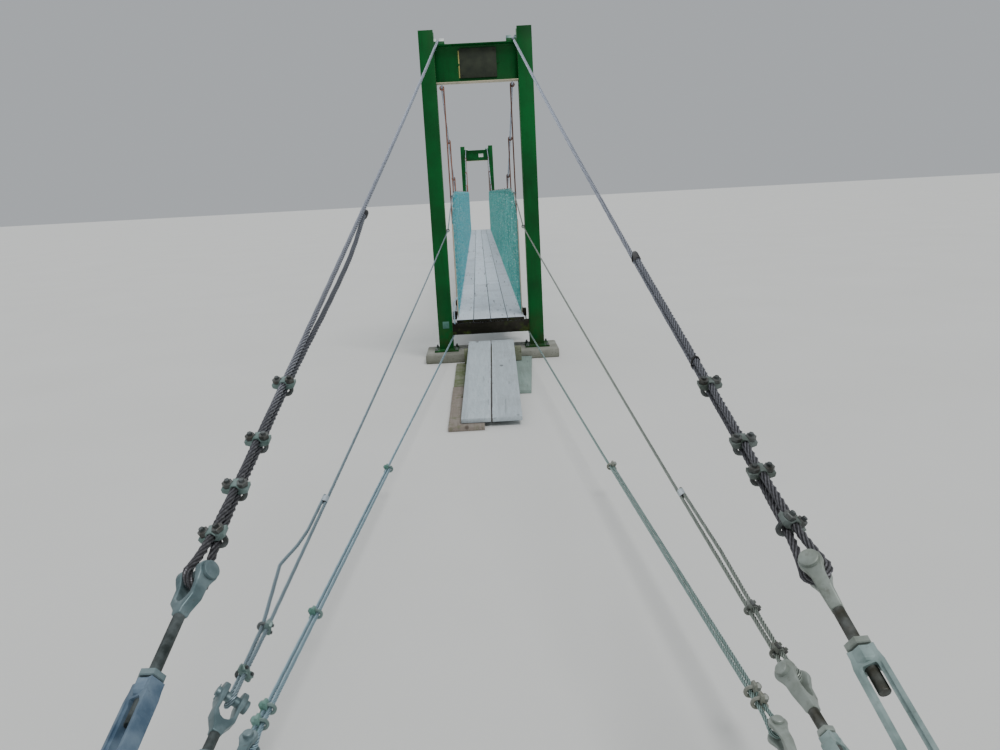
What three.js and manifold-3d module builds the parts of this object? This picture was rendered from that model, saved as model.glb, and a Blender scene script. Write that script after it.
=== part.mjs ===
// Rope suspension footbridge, from anchor block to anchor block, in millimetres.
// Seen from the near end, +X is to the right, +Y runs along the bridge and +Z is up.
// The origin is on the ground under the middle of the span.

import * as THREE from "three";
import * as BufferGeometryUtils from "three/addons/utils/BufferGeometryUtils.js";
import Module from "manifold-3d";

const wasm = await Module();
wasm.setup();

// Gap that neighbouring pieces keep where they don't meet face to face
const fitGap = 0.35;

// Towers
const towerY = 10600;
const portalHalfWidth = 573.5;
const column = { flange: 152, depth: 157, flangeThickness: 10, webThickness: 8, top: 3393 };
const basePlate = { side: 260, thickness: 16 };
const footing = { halfLength: 720, halfWidth: 250, height: 100 };
const crossbeam = { top: 3253, depth: 372, flange: 150, flangeThickness: 12, webThickness: 9 };
const plaque = { width: 378, height: 288, thickness: 14, shiftX: 17, shiftZ: 2 };
const notice = { width: 170, height: 120, thickness: 4, shiftX: 150, shiftZ: 0 };

// Saddles, where the main cable turns over the crossbeam
const saddle = {
  x: 382,
  crest: 3290,
  bend: 300,
  backAngle: 19.8,
  spanAngle: 25.5,
  halfLength: 75,
  baseFrom: 314,
  baseTo: 420,
  baseThickness: 8,
  cheekGap: 1.5,
  cheekTop: 62,
  cheekTopHalfLength: 45,
  grooveSteps: 8,
};
const bendSteps = 5;

// Sleeves that guide the hand cable at the columns
const sleeve = { x: 400, y: towerY + 60, z: 1400, halfLength: 12, bore: 12.8, outer: 19, sides: 12 };
const sleeveTab = { halfHeight: 9, sunk: 4 };

// Deck
const deckTop = 440;
const plank = { width: 180, thickness: 38, gap: 5.3, rows: 4, end: towerY + 90 };
const endTimber = { halfLength: 420, depth: 128, thickness: 90 };
const floorBeam = { halfLength: 440, side: 89 };
const hangerSpacing = 1222.5;
const hangersEachWay = 8;
const hanger = { radius: 8, sides: 6, topReach: 20, plankGap: 0.5 };
const clamp = { halfLength: 18, outerReach: 20, innerReach: 4, thickness: 14 };
const fence = {
  thickness: 4, end: 10500, edge: 14, bar: 14, cellsAcross: 12, cellsUp: 4, endBarHalf: 6, endBarProud: 2,
};
const handHeight = 1800;
const firstHandHeight = 1750;

// Approach ramps
const bed = {
  thickness: 38,
  left: { from: -395, to: -110, near: 13430, far: 11040 },
  right: { from: 60, to: 370, near: 12360, far: towerY + footing.halfWidth + 9.3, skewAngle: 4 },
  bearer: { halfLength: 300, halfWidth: 50, y: 11050, sunk: 2 },
};
const ramp = {
  boardWidth: 236,
  boardGap: 6,
  thickness: 38,
  footY: 13350,
  headY: 10900,
  footTop: bed.thickness + 38 + fitGap,
  headTop: 235,
  shiftX: -32,
  skewAngle: 1.1,
};

// Anchors
const anchorPinY = towerY + 7920;
const anchorPlate = { y: 18600, thickness: 20, from: 560, to: 1040, bottom: 90, top: 600 };
const anchorBlock = { from: 500, to: 1100, length: 750, height: 640, chamfer: 30 };

// The three stays at each corner. Splay is the sideways drift per unit of run, slope the fall per unit
// of run, and run the distance from the tower to the upper pin. Clips are measured from that pin.
// The tail turns back beside the loaded part, on the side given in degrees, where 0 is away from the
// bridge and 90 is up. The loop and its jaw have an angle of their own, so the two parts twist round
// each other up to the second clip. Each clip seats on one of the two.
const stays = {
  main: {
    radius: 12.7,
    sides: 8,
    slope: 0.36,
    splay: { nearLeft: 0.069, nearRight: 0.0493, far: 0.059 },
    run: { left: 6823, right: 6920 },
    sag: 30,
    clips: { left: [150, 347, 580, 913], right: [166, 380, 528, 858] },
    tailEnd: { left: 2660, right: 1960 },
    turnedBack: { left: -90, right: 90 },
    jawTurn: { left: -120, right: 30 },
    seatOnTail: { left: false, right: true },
    clip: { saddle: 34, width: 79, nut: 15 },
    turnbuckle: {
      pin: 17.5, ear: 30, earThickness: 22, throat: 48, crotch: 100, rod: 15,
      nutAt: 250, nut: 33, nutHeight: 18, body: 550, bodyHalfWidth: 36, bar: 17, collar: 44, rodShows: 60,
    },
    earThickness: 30,
  },
  hand: {
    radius: 6.35,
    sides: 6,
    slope: 0.11,
    splay: { nearLeft: 0.0465, nearRight: 0.0295, far: 0.038 },
    run: { left: 7030, right: 7075 },
    sag: 20,
    clips: { left: [90, 278], right: [93, 273] },
    tailEnd: { left: 1050, right: 980 },
    turnedBack: { left: 20, right: 40 },
    jawTurn: { left: -48, right: 48 },
    seatOnTail: { left: false, right: true },
    clip: { saddle: 20, width: 46, nut: 9 },
    turnbuckle: {
      pin: 12, ear: 28, earThickness: 14, throat: 38, crotch: 86, rod: 13,
      nutAt: 180, nut: 21, nutHeight: 14, body: 420, bodyHalfWidth: 32, bar: 13, collar: 30, rodShows: 50,
    },
    earThickness: 26,
  },
  deck: {
    radius: 8,
    sides: 6,
    slope: 0.011,
    splay: { nearLeft: 0.067, nearRight: 0.0465, far: 0.057 },
    run: { left: 6610, right: 6700 },
    sag: 12,
    clips: { left: [96, 172, 760, 2410], right: [136, 194, 2320] },
    tailEnd: { left: 2450, right: 2370 },
    turnedBack: { left: 180, right: 0 },
    jawTurn: { left: 180, right: 0 },
    seatOnTail: { left: true, right: true },
    clip: { saddle: 24, width: 54, nut: 10 },
    turnbuckle: {
      pin: 12, ear: 28, earThickness: 15, throat: 38, crotch: 90, rod: 13.5,
      nutAt: 185, nut: 21, nutHeight: 16, body: 460, bodyHalfWidth: 33, bar: 13, collar: 30, rodShows: 50,
    },
    earThickness: 26,
  },
};
const deckCableTowerX = 412;
const deckCableSpanX = 430;
const loopStep = 30;
const jawShape = { web: 14, shoulder: 20, neck: 16, eyeStep: 40, pinTail: 8, pinHead: 12 };
const nutToBody = 6;
const earSunk = 5;
const sagSteps = 3;
const twistSteps = 3;

const degrees = Math.PI / 180;

// How steep a path may be before its section is turned by the Y axis instead of the Z axis
const steepest = 0.99;
const vector = (x, y, z) => new THREE.Vector3(x, y, z);
const up = vector(0, 0, 1);

// Finishes
const finish = (color, roughness, metalness) => new THREE.MeshStandardMaterial({ color, roughness, metalness });
const finishes = {
  greenPaint: finish(0x1c6b3a, 0.45, 0.1),
  bronze: finish(0x3a3527, 0.5, 0.6),
  whitePlate: finish(0xe8e8e2, 0.5, 0.0),
  galvanised: finish(0x9aa5a8, 0.45, 0.8),
  rope: finish(0x6c6a72, 0.5, 0.7),
  rustySteel: finish(0x8a5a48, 0.7, 0.5),
  meshCoat: finish(0x3f9f98, 0.4, 0.1),
  greyTimber: finish(0xa3abaf, 0.85, 0.0),
  darkTimber: finish(0x33302a, 0.9, 0.0),
  oldTimber: finish(0x6f7a66, 0.9, 0.0),
  concrete: finish(0x9b9a93, 0.9, 0.0),
};

// Booleans

function toManifold(geometry) {
  const bare = geometry.clone();
  bare.deleteAttribute("normal");
  bare.deleteAttribute("uv");
  const merged = BufferGeometryUtils.mergeVertices(bare, 1e-3);
  const vertProperties = Float32Array.from(merged.attributes.position.array);
  const triVerts = Uint32Array.from(merged.index.array);
  return new wasm.Manifold(new wasm.Mesh({ numProp: 3, vertProperties, triVerts }));
}

function toGeometry(solid) {
  const mesh = solid.getMesh();
  const geometry = new THREE.BufferGeometry();
  geometry.setAttribute("position", new THREE.BufferAttribute(mesh.vertProperties, 3));
  geometry.setIndex(new THREE.BufferAttribute(mesh.triVerts, 1));
  return geometry;
}

function common(first, second) {
  return toGeometry(toManifold(first).intersect(toManifold(second)));
}

function join(...geometries) {
  return toGeometry(geometries.map(toManifold).reduce((whole, next) => whole.add(next)));
}

function cut(geometry, ...tools) {
  return toGeometry(tools.map(toManifold).reduce((whole, tool) => whole.subtract(tool), toManifold(geometry)));
}

// Basic shapes

function block(low, high) {
  const geometry = new THREE.BoxGeometry(...high.map((value, axis) => value - low[axis]));
  geometry.translate(...high.map((value, axis) => (value + low[axis]) / 2));
  return geometry;
}

function prism(outline, depth) {
  const shape = new THREE.Shape(outline.map(([x, y]) => new THREE.Vector2(x, y)));
  return new THREE.ExtrudeGeometry(shape, { depth, bevelEnabled: false });
}

// An outline in the YZ plane, carried along X
function sideProfile(outline, fromX, toX) {
  const geometry = prism(outline, toX - fromX);
  geometry.applyMatrix4(new THREE.Matrix4().makeBasis(vector(0, 1, 0), vector(0, 0, 1), vector(1, 0, 0)));
  geometry.translate(fromX, 0, 0);
  return geometry;
}

// An outline in the XZ plane, carried along Y
function frontProfile(outline, fromY, toY) {
  const geometry = prism(outline, toY - fromY);
  geometry.applyMatrix4(new THREE.Matrix4().makeBasis(vector(1, 0, 0), vector(0, 0, 1), vector(0, -1, 0)));
  geometry.translate(0, toY, 0);
  return geometry;
}

function ring(radius, sides) {
  const points = [];
  for (let i = 0; i < sides; i += 1) {
    const angle = ((i + 0.5) / sides) * 2 * Math.PI;
    points.push([radius * Math.cos(angle), radius * Math.sin(angle)]);
  }
  return points;
}

// A path with one section at each of its points, square to the bisector there
class Route extends THREE.Curve {
  constructor(points) {
    super();
    this.points = points;
  }

  getPoint(t, target = new THREE.Vector3()) {
    const last = this.points.length - 1;
    const index = Math.min(Math.floor(t * last + 1e-9), last - 1);
    return target.lerpVectors(this.points[index], this.points[index + 1], t * last - index);
  }

  getPointAt(u, target) {
    return this.getPoint(u, target);
  }

  getTangentAt(u, target = new THREE.Vector3()) {
    const last = this.points.length - 1;
    const index = Math.round(u * last);
    const before = Math.max(index - 1, 0);
    const after = Math.min(index, last - 1);
    const into = new THREE.Vector3().subVectors(this.points[before + 1], this.points[before]).normalize();
    const out = new THREE.Vector3().subVectors(this.points[after + 1], this.points[after]).normalize();
    return target.addVectors(into, out).normalize();
  }

  // The sections' frames, upright in the middle of the path and carried outwards without a twist
  computeFrenetFrames(segments) {
    const tangents = [];
    for (let i = 0; i <= segments; i += 1) {
      tangents.push(this.getTangentAt(i / segments));
    }
    const middle = Math.floor(segments / 2);
    const standing = Math.abs(tangents[middle].z) > steepest;
    const reference = standing ? vector(0, 1, 0) : vector(0, 0, 1);
    const normals = [];
    normals[middle] = reference.addScaledVector(tangents[middle], -reference.dot(tangents[middle])).normalize();
    const carry = (from, to) => {
      const turn = new THREE.Quaternion().setFromUnitVectors(tangents[from], tangents[to]);
      normals[to] = normals[from].clone().applyQuaternion(turn);
    };
    for (let i = middle; i < segments; i += 1) {
      carry(i, i + 1);
    }
    for (let i = middle; i > 0; i -= 1) {
      carry(i, i - 1);
    }
    const binormals = tangents.map((tangent, i) => tangent.clone().cross(normals[i]));
    return { tangents, normals, binormals };
  }
}

function sweep(points, radius, sides) {
  const section = new THREE.Shape(ring(radius, sides).map(([x, y]) => new THREE.Vector2(x, y)));
  return new THREE.ExtrudeGeometry(section, { steps: points.length - 1, extrudePath: new Route(points) });
}

function rod(from, to, radius, sides) {
  return sweep([vector(...from), vector(...to)], radius, sides);
}

// The two ends and sides of the bridge

const ends = [{ name: "near", sign: -1 }, { name: "far", sign: 1 }];
const sides = [{ name: "left", sign: -1 }, { name: "right", sign: 1 }];

function splayOf(stay, end, side) {
  if (end.name === "far") {
    return stay.splay.far;
  }
  return side.name === "left" ? stay.splay.nearLeft : stay.splay.nearRight;
}

// Cable routes

// Half the width of a cable across the flats of its section
function flatRadius({ radius, sides: count }) {
  return radius * Math.cos(Math.PI / count);
}

const backRise = saddle.bend * (1 - Math.cos(saddle.backAngle * degrees));
const backReach = saddle.bend * Math.sin(saddle.backAngle * degrees);
const spanRise = saddle.bend * (1 - Math.cos(saddle.spanAngle * degrees));
const spanReach = saddle.bend * Math.sin(saddle.spanAngle * degrees);
const curveEnd = towerY - spanReach;
const mainSag = (Math.tan(saddle.spanAngle * degrees) * curveEnd) / 2;
const mainLow = saddle.crest - spanRise - mainSag;
const deckHalfWidth = (plank.rows * plank.width + (plank.rows - 1) * plank.gap) / 2;
const hangerX = deckHalfWidth + hanger.plankGap + hanger.radius;
const mainSpanX = hangerX + hanger.radius + flatRadius(stays.main) + fitGap;
const handSpanX = hangerX - hanger.radius - stays.hand.radius - fitGap;
const fenceX = handSpanX - stays.hand.radius - fitGap - fence.thickness / 2;
const deckCableSpanZ = deckTop - plank.thickness - floorBeam.side - flatRadius(stays.deck) - fitGap;
const deckCableTowerZ = deckTop - plank.thickness - endTimber.depth - flatRadius(stays.deck) - fitGap;

const stayStarts = {
  main: { x: saddle.x, reach: backReach, z: saddle.crest - backRise },
  hand: { x: sleeve.x, reach: sleeve.y - towerY, z: sleeve.z },
  deck: { x: deckCableTowerX, reach: plank.end - towerY, z: deckCableTowerZ },
};

function mainHeight(y) {
  return mainLow + mainSag * (y / curveEnd) ** 2;
}

function hangerPlaces() {
  const places = [];
  for (let i = -hangersEachWay; i <= hangersEachWay; i += 1) {
    places.push(i * hangerSpacing);
  }
  return places;
}

// The line of one stay: its pins and the frame whose X runs down to the anchor, whose Y goes from the
// loaded rope to the turned-back one, and whose Z is the axis of the upper pin
function stayLine(kind, end, side) {
  const stay = stays[kind];
  const start = stayStarts[kind];
  const drift = splayOf(stay, end, side);
  const at = (run) => vector(
    side.sign * (start.x + drift * (run - start.reach)),
    end.sign * (towerY + run),
    start.z - stay.slope * (run - start.reach),
  );
  const upperPin = at(stay.run[side.name]);
  const lowerPin = at(anchorPinY - towerY);
  const along = new THREE.Vector3().subVectors(lowerPin, upperPin).normalize();
  const across = new THREE.Vector3().crossVectors(up, along).normalize();
  const outward = across.multiplyScalar(Math.sign(across.x) * side.sign);
  const lift = up.clone().addScaledVector(along, -up.dot(along)).normalize();
  const clips = stay.clips[side.name];
  const length = at(start.reach).distanceTo(upperPin);
  const jawTurn = stay.jawTurn[side.name];
  const frameAt = (offset) => {
    const twisted = Math.min(offset / clips[1], 1);
    const angle = (jawTurn + (stay.turnedBack[side.name] - jawTurn) * twisted) * degrees;
    const stack = outward.clone().multiplyScalar(Math.cos(angle)).addScaledVector(lift, Math.sin(angle));
    const share = offset / length;
    const place = upperPin.clone().addScaledVector(along, -offset);
    place.z -= 4 * stay.sag * share * (1 - share);
    return new THREE.Matrix4().makeBasis(along, stack, along.clone().cross(stack)).setPosition(place);
  };
  return {
    stay,
    upperPin,
    lowerPin,
    frameAt,
    length,
    seatSide: stay.seatOnTail[side.name] ? 1 : -1,
    clips,
    tailEnd: stay.tailEnd[side.name],
    lowerTurn: Math.atan2(-Math.cos(jawTurn * degrees), end.sign * side.sign * Math.sin(jawTurn * degrees)),
  };
}

// The cable from its turned-back tail round the upper pin and up to the tower
function stayRoute(line) {
  const { stay, frameAt, length, clips, tailEnd } = line;
  const half = stay.radius + fitGap;
  const bend = stay.turnbuckle.pin + stay.radius + fitGap;
  const closed = clips[0] + stay.clip.saddle / 2;
  const stops = [];
  for (let i = 1; i < twistSteps; i += 1) {
    const share = i / twistSteps;
    stops.push([closed * share, bend + (half - bend) * share]);
  }
  stops.push([closed, half], [(closed + clips[1]) / 2, half]);
  stops.push(...clips.slice(1).map((offset) => [offset, half]), [tailEnd, half]);
  const points = stops.toReversed().map(([offset, y]) => vector(0, y, 0).applyMatrix4(frameAt(offset)));
  for (let angle = 90; angle >= -90; angle -= loopStep) {
    const x = bend * Math.cos(angle * degrees);
    const y = bend * Math.sin(angle * degrees);
    points.push(vector(x, y, 0).applyMatrix4(frameAt(0)));
  }
  for (let i = 1; i < sagSteps; i += 1) {
    stops.push([tailEnd + ((length - tailEnd) * i) / sagSteps, half]);
  }
  return [...points, ...stops.map(([offset, y]) => vector(0, -y, 0).applyMatrix4(frameAt(offset)))];
}

function bothEnds(side, kind, middle) {
  const near = stayRoute(stayLine(kind, ends[0], side));
  const far = stayRoute(stayLine(kind, ends[1], side));
  return [...near, ...middle, ...far.toReversed()];
}

function mainMiddle(side) {
  const bendPoints = [];
  for (let i = 0; i <= bendSteps; i += 1) {
    const angle = (-saddle.backAngle + ((saddle.backAngle + saddle.spanAngle) * i) / bendSteps) * degrees;
    bendPoints.push([towerY - saddle.bend * Math.sin(angle), saddle.crest - saddle.bend * (1 - Math.cos(angle))]);
  }
  const overSaddle = (sign) => bendPoints.map(([y, z]) => vector(side.sign * saddle.x, sign * y, z));
  const span = hangerPlaces().map((y) => vector(side.sign * mainSpanX, y, mainHeight(y)));
  return [...overSaddle(-1), ...span, ...overSaddle(1).toReversed()];
}

function handMiddle(side) {
  const outer = hangersEachWay * hangerSpacing;
  const inner = outer - hangerSpacing;
  const x = side.sign * handSpanX;
  return [
    vector(side.sign * sleeve.x, -sleeve.y, sleeve.z),
    vector(x, -outer, firstHandHeight),
    vector(x, -inner, handHeight),
    vector(x, inner, handHeight),
    vector(x, outer, firstHandHeight),
    vector(side.sign * sleeve.x, sleeve.y, sleeve.z),
  ];
}

function deckMiddle(side) {
  const outer = hangersEachWay * hangerSpacing;
  const towerX = side.sign * deckCableTowerX;
  const spanX = side.sign * deckCableSpanX;
  const innerFace = towerY - column.depth / 2 - 10;
  return [
    vector(towerX, -plank.end, deckCableTowerZ),
    vector(towerX, -innerFace, deckCableTowerZ),
    vector(spanX, -outer, deckCableSpanZ),
    vector(spanX, outer, deckCableSpanZ),
    vector(towerX, innerFace, deckCableTowerZ),
    vector(towerX, plank.end, deckCableTowerZ),
  ];
}

// Wire rope clips, joined to the ropes that they grip

function clipAt(line, offset) {
  const { saddle: seat, width, nut } = line.stay.clip;
  const reach = 2 * (line.stay.radius + fitGap);
  const ys = [-line.seatSide * (reach + nut / 2), line.seatSide * (reach + nut)];
  const clip = block([-seat / 2, Math.min(...ys), -width / 2], [seat / 2, Math.max(...ys), width / 2]);
  clip.applyMatrix4(line.frameAt(offset));
  return clip;
}

function cable(side, kind, middle) {
  const parts = [sweep(bothEnds(side, kind, middle(side)), stays[kind].radius, stays[kind].sides)];
  for (const end of ends) {
    const line = stayLine(kind, end, side);
    parts.push(...line.clips.map((offset) => clipAt(line, offset)));
  }
  return join(...parts);
}

// Turnbuckles and the plate that holds them

// A jaw round the origin with two round eyes, opening along -X, with its pin along Z
function jaw(size) {
  const { pin, ear, earThickness, throat, crotch, rod: shank } = size;
  const { web, shoulder, eyeStep, pinTail, pinHead } = jawShape;
  const inside = throat / 2;
  const outside = inside + earThickness;
  const neck = crotch + jawShape.neck;
  const arms = frontProfile(
    [[-ear, inside], [crotch - web, inside], [crotch - web, -inside], [-ear, -inside], [-ear, -outside],
      [crotch - shoulder, -outside], [neck, -shank], [neck, shank], [crotch - shoulder, outside], [-ear, outside]],
    -ear,
    ear,
  );
  const eye = [[neck, shank]];
  for (let angle = 1.5 * eyeStep; angle <= 360 - 1.5 * eyeStep; angle += eyeStep) {
    eye.push([ear * Math.cos(angle * degrees), ear * Math.sin(angle * degrees)]);
  }
  eye.push([neck, -shank]);
  const eyes = prism(eye, 2 * outside);
  eyes.translate(0, 0, -outside);
  return [common(arms, eyes), rod([0, 0, -outside - pinTail], [0, 0, outside + pinHead], pin, 6)];
}

function turnbuckle(line) {
  const size = line.stay.turnbuckle;
  const total = line.upperPin.distanceTo(line.lowerPin);
  const bodyStart = size.nutAt + size.nutHeight / 2 + nutToBody;
  const bodyEnd = bodyStart + size.body;
  const slotHalf = size.bodyHalfWidth - size.bar;
  const frame = block([bodyStart, -size.bar, -size.bodyHalfWidth], [bodyEnd, size.bar, size.bodyHalfWidth]);
  const slot = block(
    [bodyStart + size.collar, -size.bar * 2, -slotHalf],
    [bodyEnd - size.collar, size.bar * 2, slotHalf],
  );
  const pieces = [
    ...jaw(size),
    rod([size.crotch, 0, 0], [bodyStart + size.collar + size.rodShows, 0, 0], size.rod, 6),
    rod([size.nutAt - size.nutHeight / 2, 0, 0], [size.nutAt + size.nutHeight / 2, 0, 0], size.nut, 6),
    cut(frame, slot),
    rod([bodyEnd - size.collar - size.rodShows, 0, 0], [total - size.crotch, 0, 0], size.rod, 6),
  ];
  const lower = join(...jaw(size));
  lower.rotateZ(Math.PI);
  lower.rotateX(line.lowerTurn);
  lower.translate(total, 0, 0);
  const whole = join(...pieces, lower);
  whole.applyMatrix4(line.frameAt(0));
  return whole;
}

function anchorGear(end, side) {
  const faceY = end.sign * anchorPlate.y;
  const backY = end.sign * (anchorPlate.y + anchorPlate.thickness);
  const xs = [side.sign * anchorPlate.from, side.sign * anchorPlate.to];
  const low = [Math.min(...xs), Math.min(faceY, backY), anchorPlate.bottom];
  const high = [Math.max(...xs), Math.max(faceY, backY), anchorPlate.top];
  const pieces = [block(low, high)];
  for (const kind of Object.keys(stays)) {
    const line = stayLine(kind, end, side);
    const { ear } = line.stay.turnbuckle;
    const { x, y, z } = line.lowerPin;
    const half = line.stay.earThickness / 2;
    const root = faceY + end.sign * earSunk;
    const outline = [[root, z - 2 * ear], [root, z + 2 * ear]];
    for (let angle = 90; angle <= 270; angle += 45) {
      outline.push([y + end.sign * ear * Math.cos(angle * degrees), z + ear * Math.sin(angle * degrees)]);
    }
    pieces.push(sideProfile(outline, x - half, x + half), turnbuckle(line));
  }
  return join(...pieces);
}

// Towers

function towerColumn(end, side) {
  const x = side.sign * (portalHalfWidth - column.flange / 2);
  const y = end.sign * towerY;
  const halfFlange = column.flange / 2;
  const halfDepth = column.depth / 2;
  const halfWeb = column.webThickness / 2;
  const inner = halfDepth - column.flangeThickness;
  const quarter = [[halfFlange, halfDepth], [halfFlange, inner], [halfWeb, inner]];
  const outline = [
    ...quarter,
    ...quarter.toReversed().map(([a, b]) => [a, -b]),
    ...quarter.map(([a, b]) => [-a, -b]),
    ...quarter.toReversed().map(([a, b]) => [-a, b]),
  ];
  const foot = footing.height + basePlate.thickness;
  const post = prism(outline, column.top - foot);
  post.translate(x, y, foot);
  const half = basePlate.side / 2;
  const plate = block([x - half, y - half, footing.height], [x + half, y + half, foot]);
  const sleeveX = side.sign * sleeve.x;
  const sleeveY = end.sign * sleeve.y;
  const tabX = [sleeveX, side.sign * (portalHalfWidth - column.flange + sleeveTab.sunk)];
  const tab = block(
    [Math.min(...tabX), sleeveY - sleeve.halfLength, sleeve.z - sleeveTab.halfHeight],
    [Math.max(...tabX), sleeveY + sleeve.halfLength, sleeve.z + sleeveTab.halfHeight],
  );
  const tube = (radius, halfLength) =>
    rod([sleeveX, sleeveY - halfLength, sleeve.z], [sleeveX, sleeveY + halfLength, sleeve.z], radius, sleeve.sides);
  const bracket = cut(join(tab, tube(sleeve.outer, sleeve.halfLength)), tube(sleeve.bore, 2 * sleeve.halfLength));
  return join(post, plate, bracket);
}

function towerCrossbeam(end) {
  const y = end.sign * towerY;
  const halfFlange = crossbeam.flange / 2;
  const halfWeb = crossbeam.webThickness / 2;
  const bottom = crossbeam.top - crossbeam.depth;
  const lowFlange = bottom + crossbeam.flangeThickness;
  const highFlange = crossbeam.top - crossbeam.flangeThickness;
  const right = [[halfFlange, bottom], [halfFlange, lowFlange], [halfWeb, lowFlange], [halfWeb, highFlange],
    [halfFlange, highFlange], [halfFlange, crossbeam.top]];
  const outline = [...right, ...right.toReversed().map(([a, b]) => [-a, b])].map(([a, b]) => [y + a, b]);
  const halfLength = portalHalfWidth - column.flange - fitGap;
  return sideProfile(outline, -halfLength, halfLength);
}

// A plate on the crossbeam's web, on the side that faces the near end
function beamPlate(end, size) {
  const face = end.sign * towerY - crossbeam.webThickness / 2;
  const middle = crossbeam.top - crossbeam.depth / 2 + size.shiftZ;
  const low = [size.shiftX - size.width / 2, face - size.thickness, middle - size.height / 2];
  const high = [size.shiftX + size.width / 2, face, middle + size.height / 2];
  return block(low, high);
}

function cableSaddle(end, side) {
  const y = end.sign * towerY;
  const chord = ((saddle.backAngle + saddle.spanAngle) / bendSteps / 2) * degrees;
  const groove = saddle.bend * Math.cos(chord) - flatRadius(stays.main) - fitGap;
  const centre = saddle.crest - saddle.bend;
  const outline = [[saddle.halfLength, crossbeam.top]];
  for (let i = 0; i <= saddle.grooveSteps; i += 1) {
    const along = saddle.halfLength * (1 - (2 * i) / saddle.grooveSteps);
    outline.push([along, centre + Math.sqrt(groove ** 2 - along ** 2)]);
  }
  outline.push([-saddle.halfLength, crossbeam.top]);
  const cheekTop = crossbeam.top + saddle.cheekTop;
  const cheekOutline = [
    [saddle.halfLength, crossbeam.top],
    [saddle.cheekTopHalfLength, cheekTop],
    [-saddle.cheekTopHalfLength, cheekTop],
    [-saddle.halfLength, crossbeam.top],
  ];
  const slotHalf = stays.main.radius + saddle.cheekGap;
  const pieces = [
    sideProfile(outline, saddle.x - 2 * slotHalf, saddle.x + 2 * slotHalf),
    sideProfile(cheekOutline, saddle.baseFrom, saddle.x - slotHalf),
    sideProfile(cheekOutline, saddle.x + slotHalf, saddle.baseTo),
    block(
      [saddle.baseFrom, -saddle.halfLength, crossbeam.top],
      [saddle.baseTo, saddle.halfLength, crossbeam.top + saddle.baseThickness],
    ),
  ];
  const whole = join(...pieces);
  if (side.sign < 0) {
    whole.rotateZ(Math.PI);
  }
  whole.translate(0, y, 0);
  return whole;
}

function towerFooting(end) {
  const y = end.sign * towerY;
  return block(
    [-footing.halfLength, y - footing.halfWidth, 0],
    [footing.halfLength, y + footing.halfWidth, footing.height],
  );
}

function anchorFooting(end, side) {
  const { chamfer, height } = anchorBlock;
  const inside = Math.min(side.sign * anchorBlock.from, side.sign * anchorBlock.to);
  const outside = Math.max(side.sign * anchorBlock.from, side.sign * anchorBlock.to);
  const outline = [
    [inside, 0],
    [outside, 0],
    [outside, height - chamfer],
    [outside - chamfer, height],
    [inside + chamfer, height],
    [inside, height - chamfer],
  ];
  const face = anchorPlate.y + anchorPlate.thickness;
  const ys = [end.sign * face, end.sign * (face + anchorBlock.length)];
  return frontProfile(outline, Math.min(...ys), Math.max(...ys));
}

// Span

function crossFrame(y) {
  const beamTop = deckTop - plank.thickness;
  const low = [-floorBeam.halfLength, y - floorBeam.side / 2, beamTop - floorBeam.side];
  const high = [floorBeam.halfLength, y + floorBeam.side / 2, beamTop];
  const pieces = [block(low, high)];
  const z = mainHeight(y);
  const top = Math.max(z, handHeight) + hanger.topReach;
  const slope = Math.atan((2 * mainSag * y) / curveEnd ** 2);
  for (const side of sides) {
    const x = side.sign * hangerX;
    pieces.push(rod([x, y, beamTop - floorBeam.side / 2], [x, y, top], hanger.radius, hanger.sides));
    const reach = [side.sign * (hangerX - clamp.innerReach), side.sign * (mainSpanX + clamp.outerReach)];
    const topOfClamp = -stays.main.radius - fitGap;
    const grip = block(
      [Math.min(...reach), -clamp.halfLength, topOfClamp - clamp.thickness],
      [Math.max(...reach), clamp.halfLength, topOfClamp],
    );
    grip.rotateX(slope);
    grip.translate(0, y, z);
    pieces.push(grip);
  }
  return join(...pieces);
}

function plankRow(row) {
  const pitch = plank.width + plank.gap;
  const x = (row - (plank.rows - 1) / 2) * pitch;
  return block(
    [x - plank.width / 2, -plank.end, deckTop - plank.thickness],
    [x + plank.width / 2, plank.end, deckTop],
  );
}

function endTimberAt(end) {
  const ys = [end.sign * plank.end, end.sign * (plank.end - endTimber.thickness)];
  const top = deckTop - plank.thickness;
  return block(
    [-endTimber.halfLength, Math.min(...ys), top - endTimber.depth],
    [endTimber.halfLength, Math.max(...ys), top],
  );
}

function handHeightAt(y) {
  const outer = hangersEachWay * hangerSpacing;
  const share = (y - outer) / (sleeve.y - outer);
  return firstHandHeight + (sleeve.z - firstHandHeight) * share;
}

// The outline of a fence panel, with its whole edge moved inwards by the inset
function fenceOutline(inset) {
  const outer = hangersEachWay * hangerSpacing;
  const inner = outer - hangerSpacing;
  const end = fence.end - inset;
  const half = [[end, deckTop + fitGap], [end, handHeightAt(end)], [outer, firstHandHeight], [inner, handHeight]];
  const moved = half.map(([y, z], i) => [y, z + (i === 0 ? inset : -inset)]);
  return [...moved, ...moved.toReversed().map(([y, z]) => [-y, z])];
}

// The bars that stand between the openings of a fence panel, as one body that is wider than the panel
function fenceBars(fromX, toX) {
  const foot = deckTop + fitGap;
  const half = fence.bar / 2;
  const bars = [];
  for (let i = 1; i < fence.cellsAcross; i += 1) {
    const y = fence.end * ((2 * i) / fence.cellsAcross - 1);
    bars.push(block([fromX, y - half, foot], [toX, y + half, handHeight]));
  }
  for (let i = 1; i < fence.cellsUp; i += 1) {
    const z = foot + ((handHeight - foot) * i) / fence.cellsUp;
    bars.push(block([fromX, -fence.end, z - half], [toX, fence.end, z + half]));
  }
  return join(...bars);
}

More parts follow.
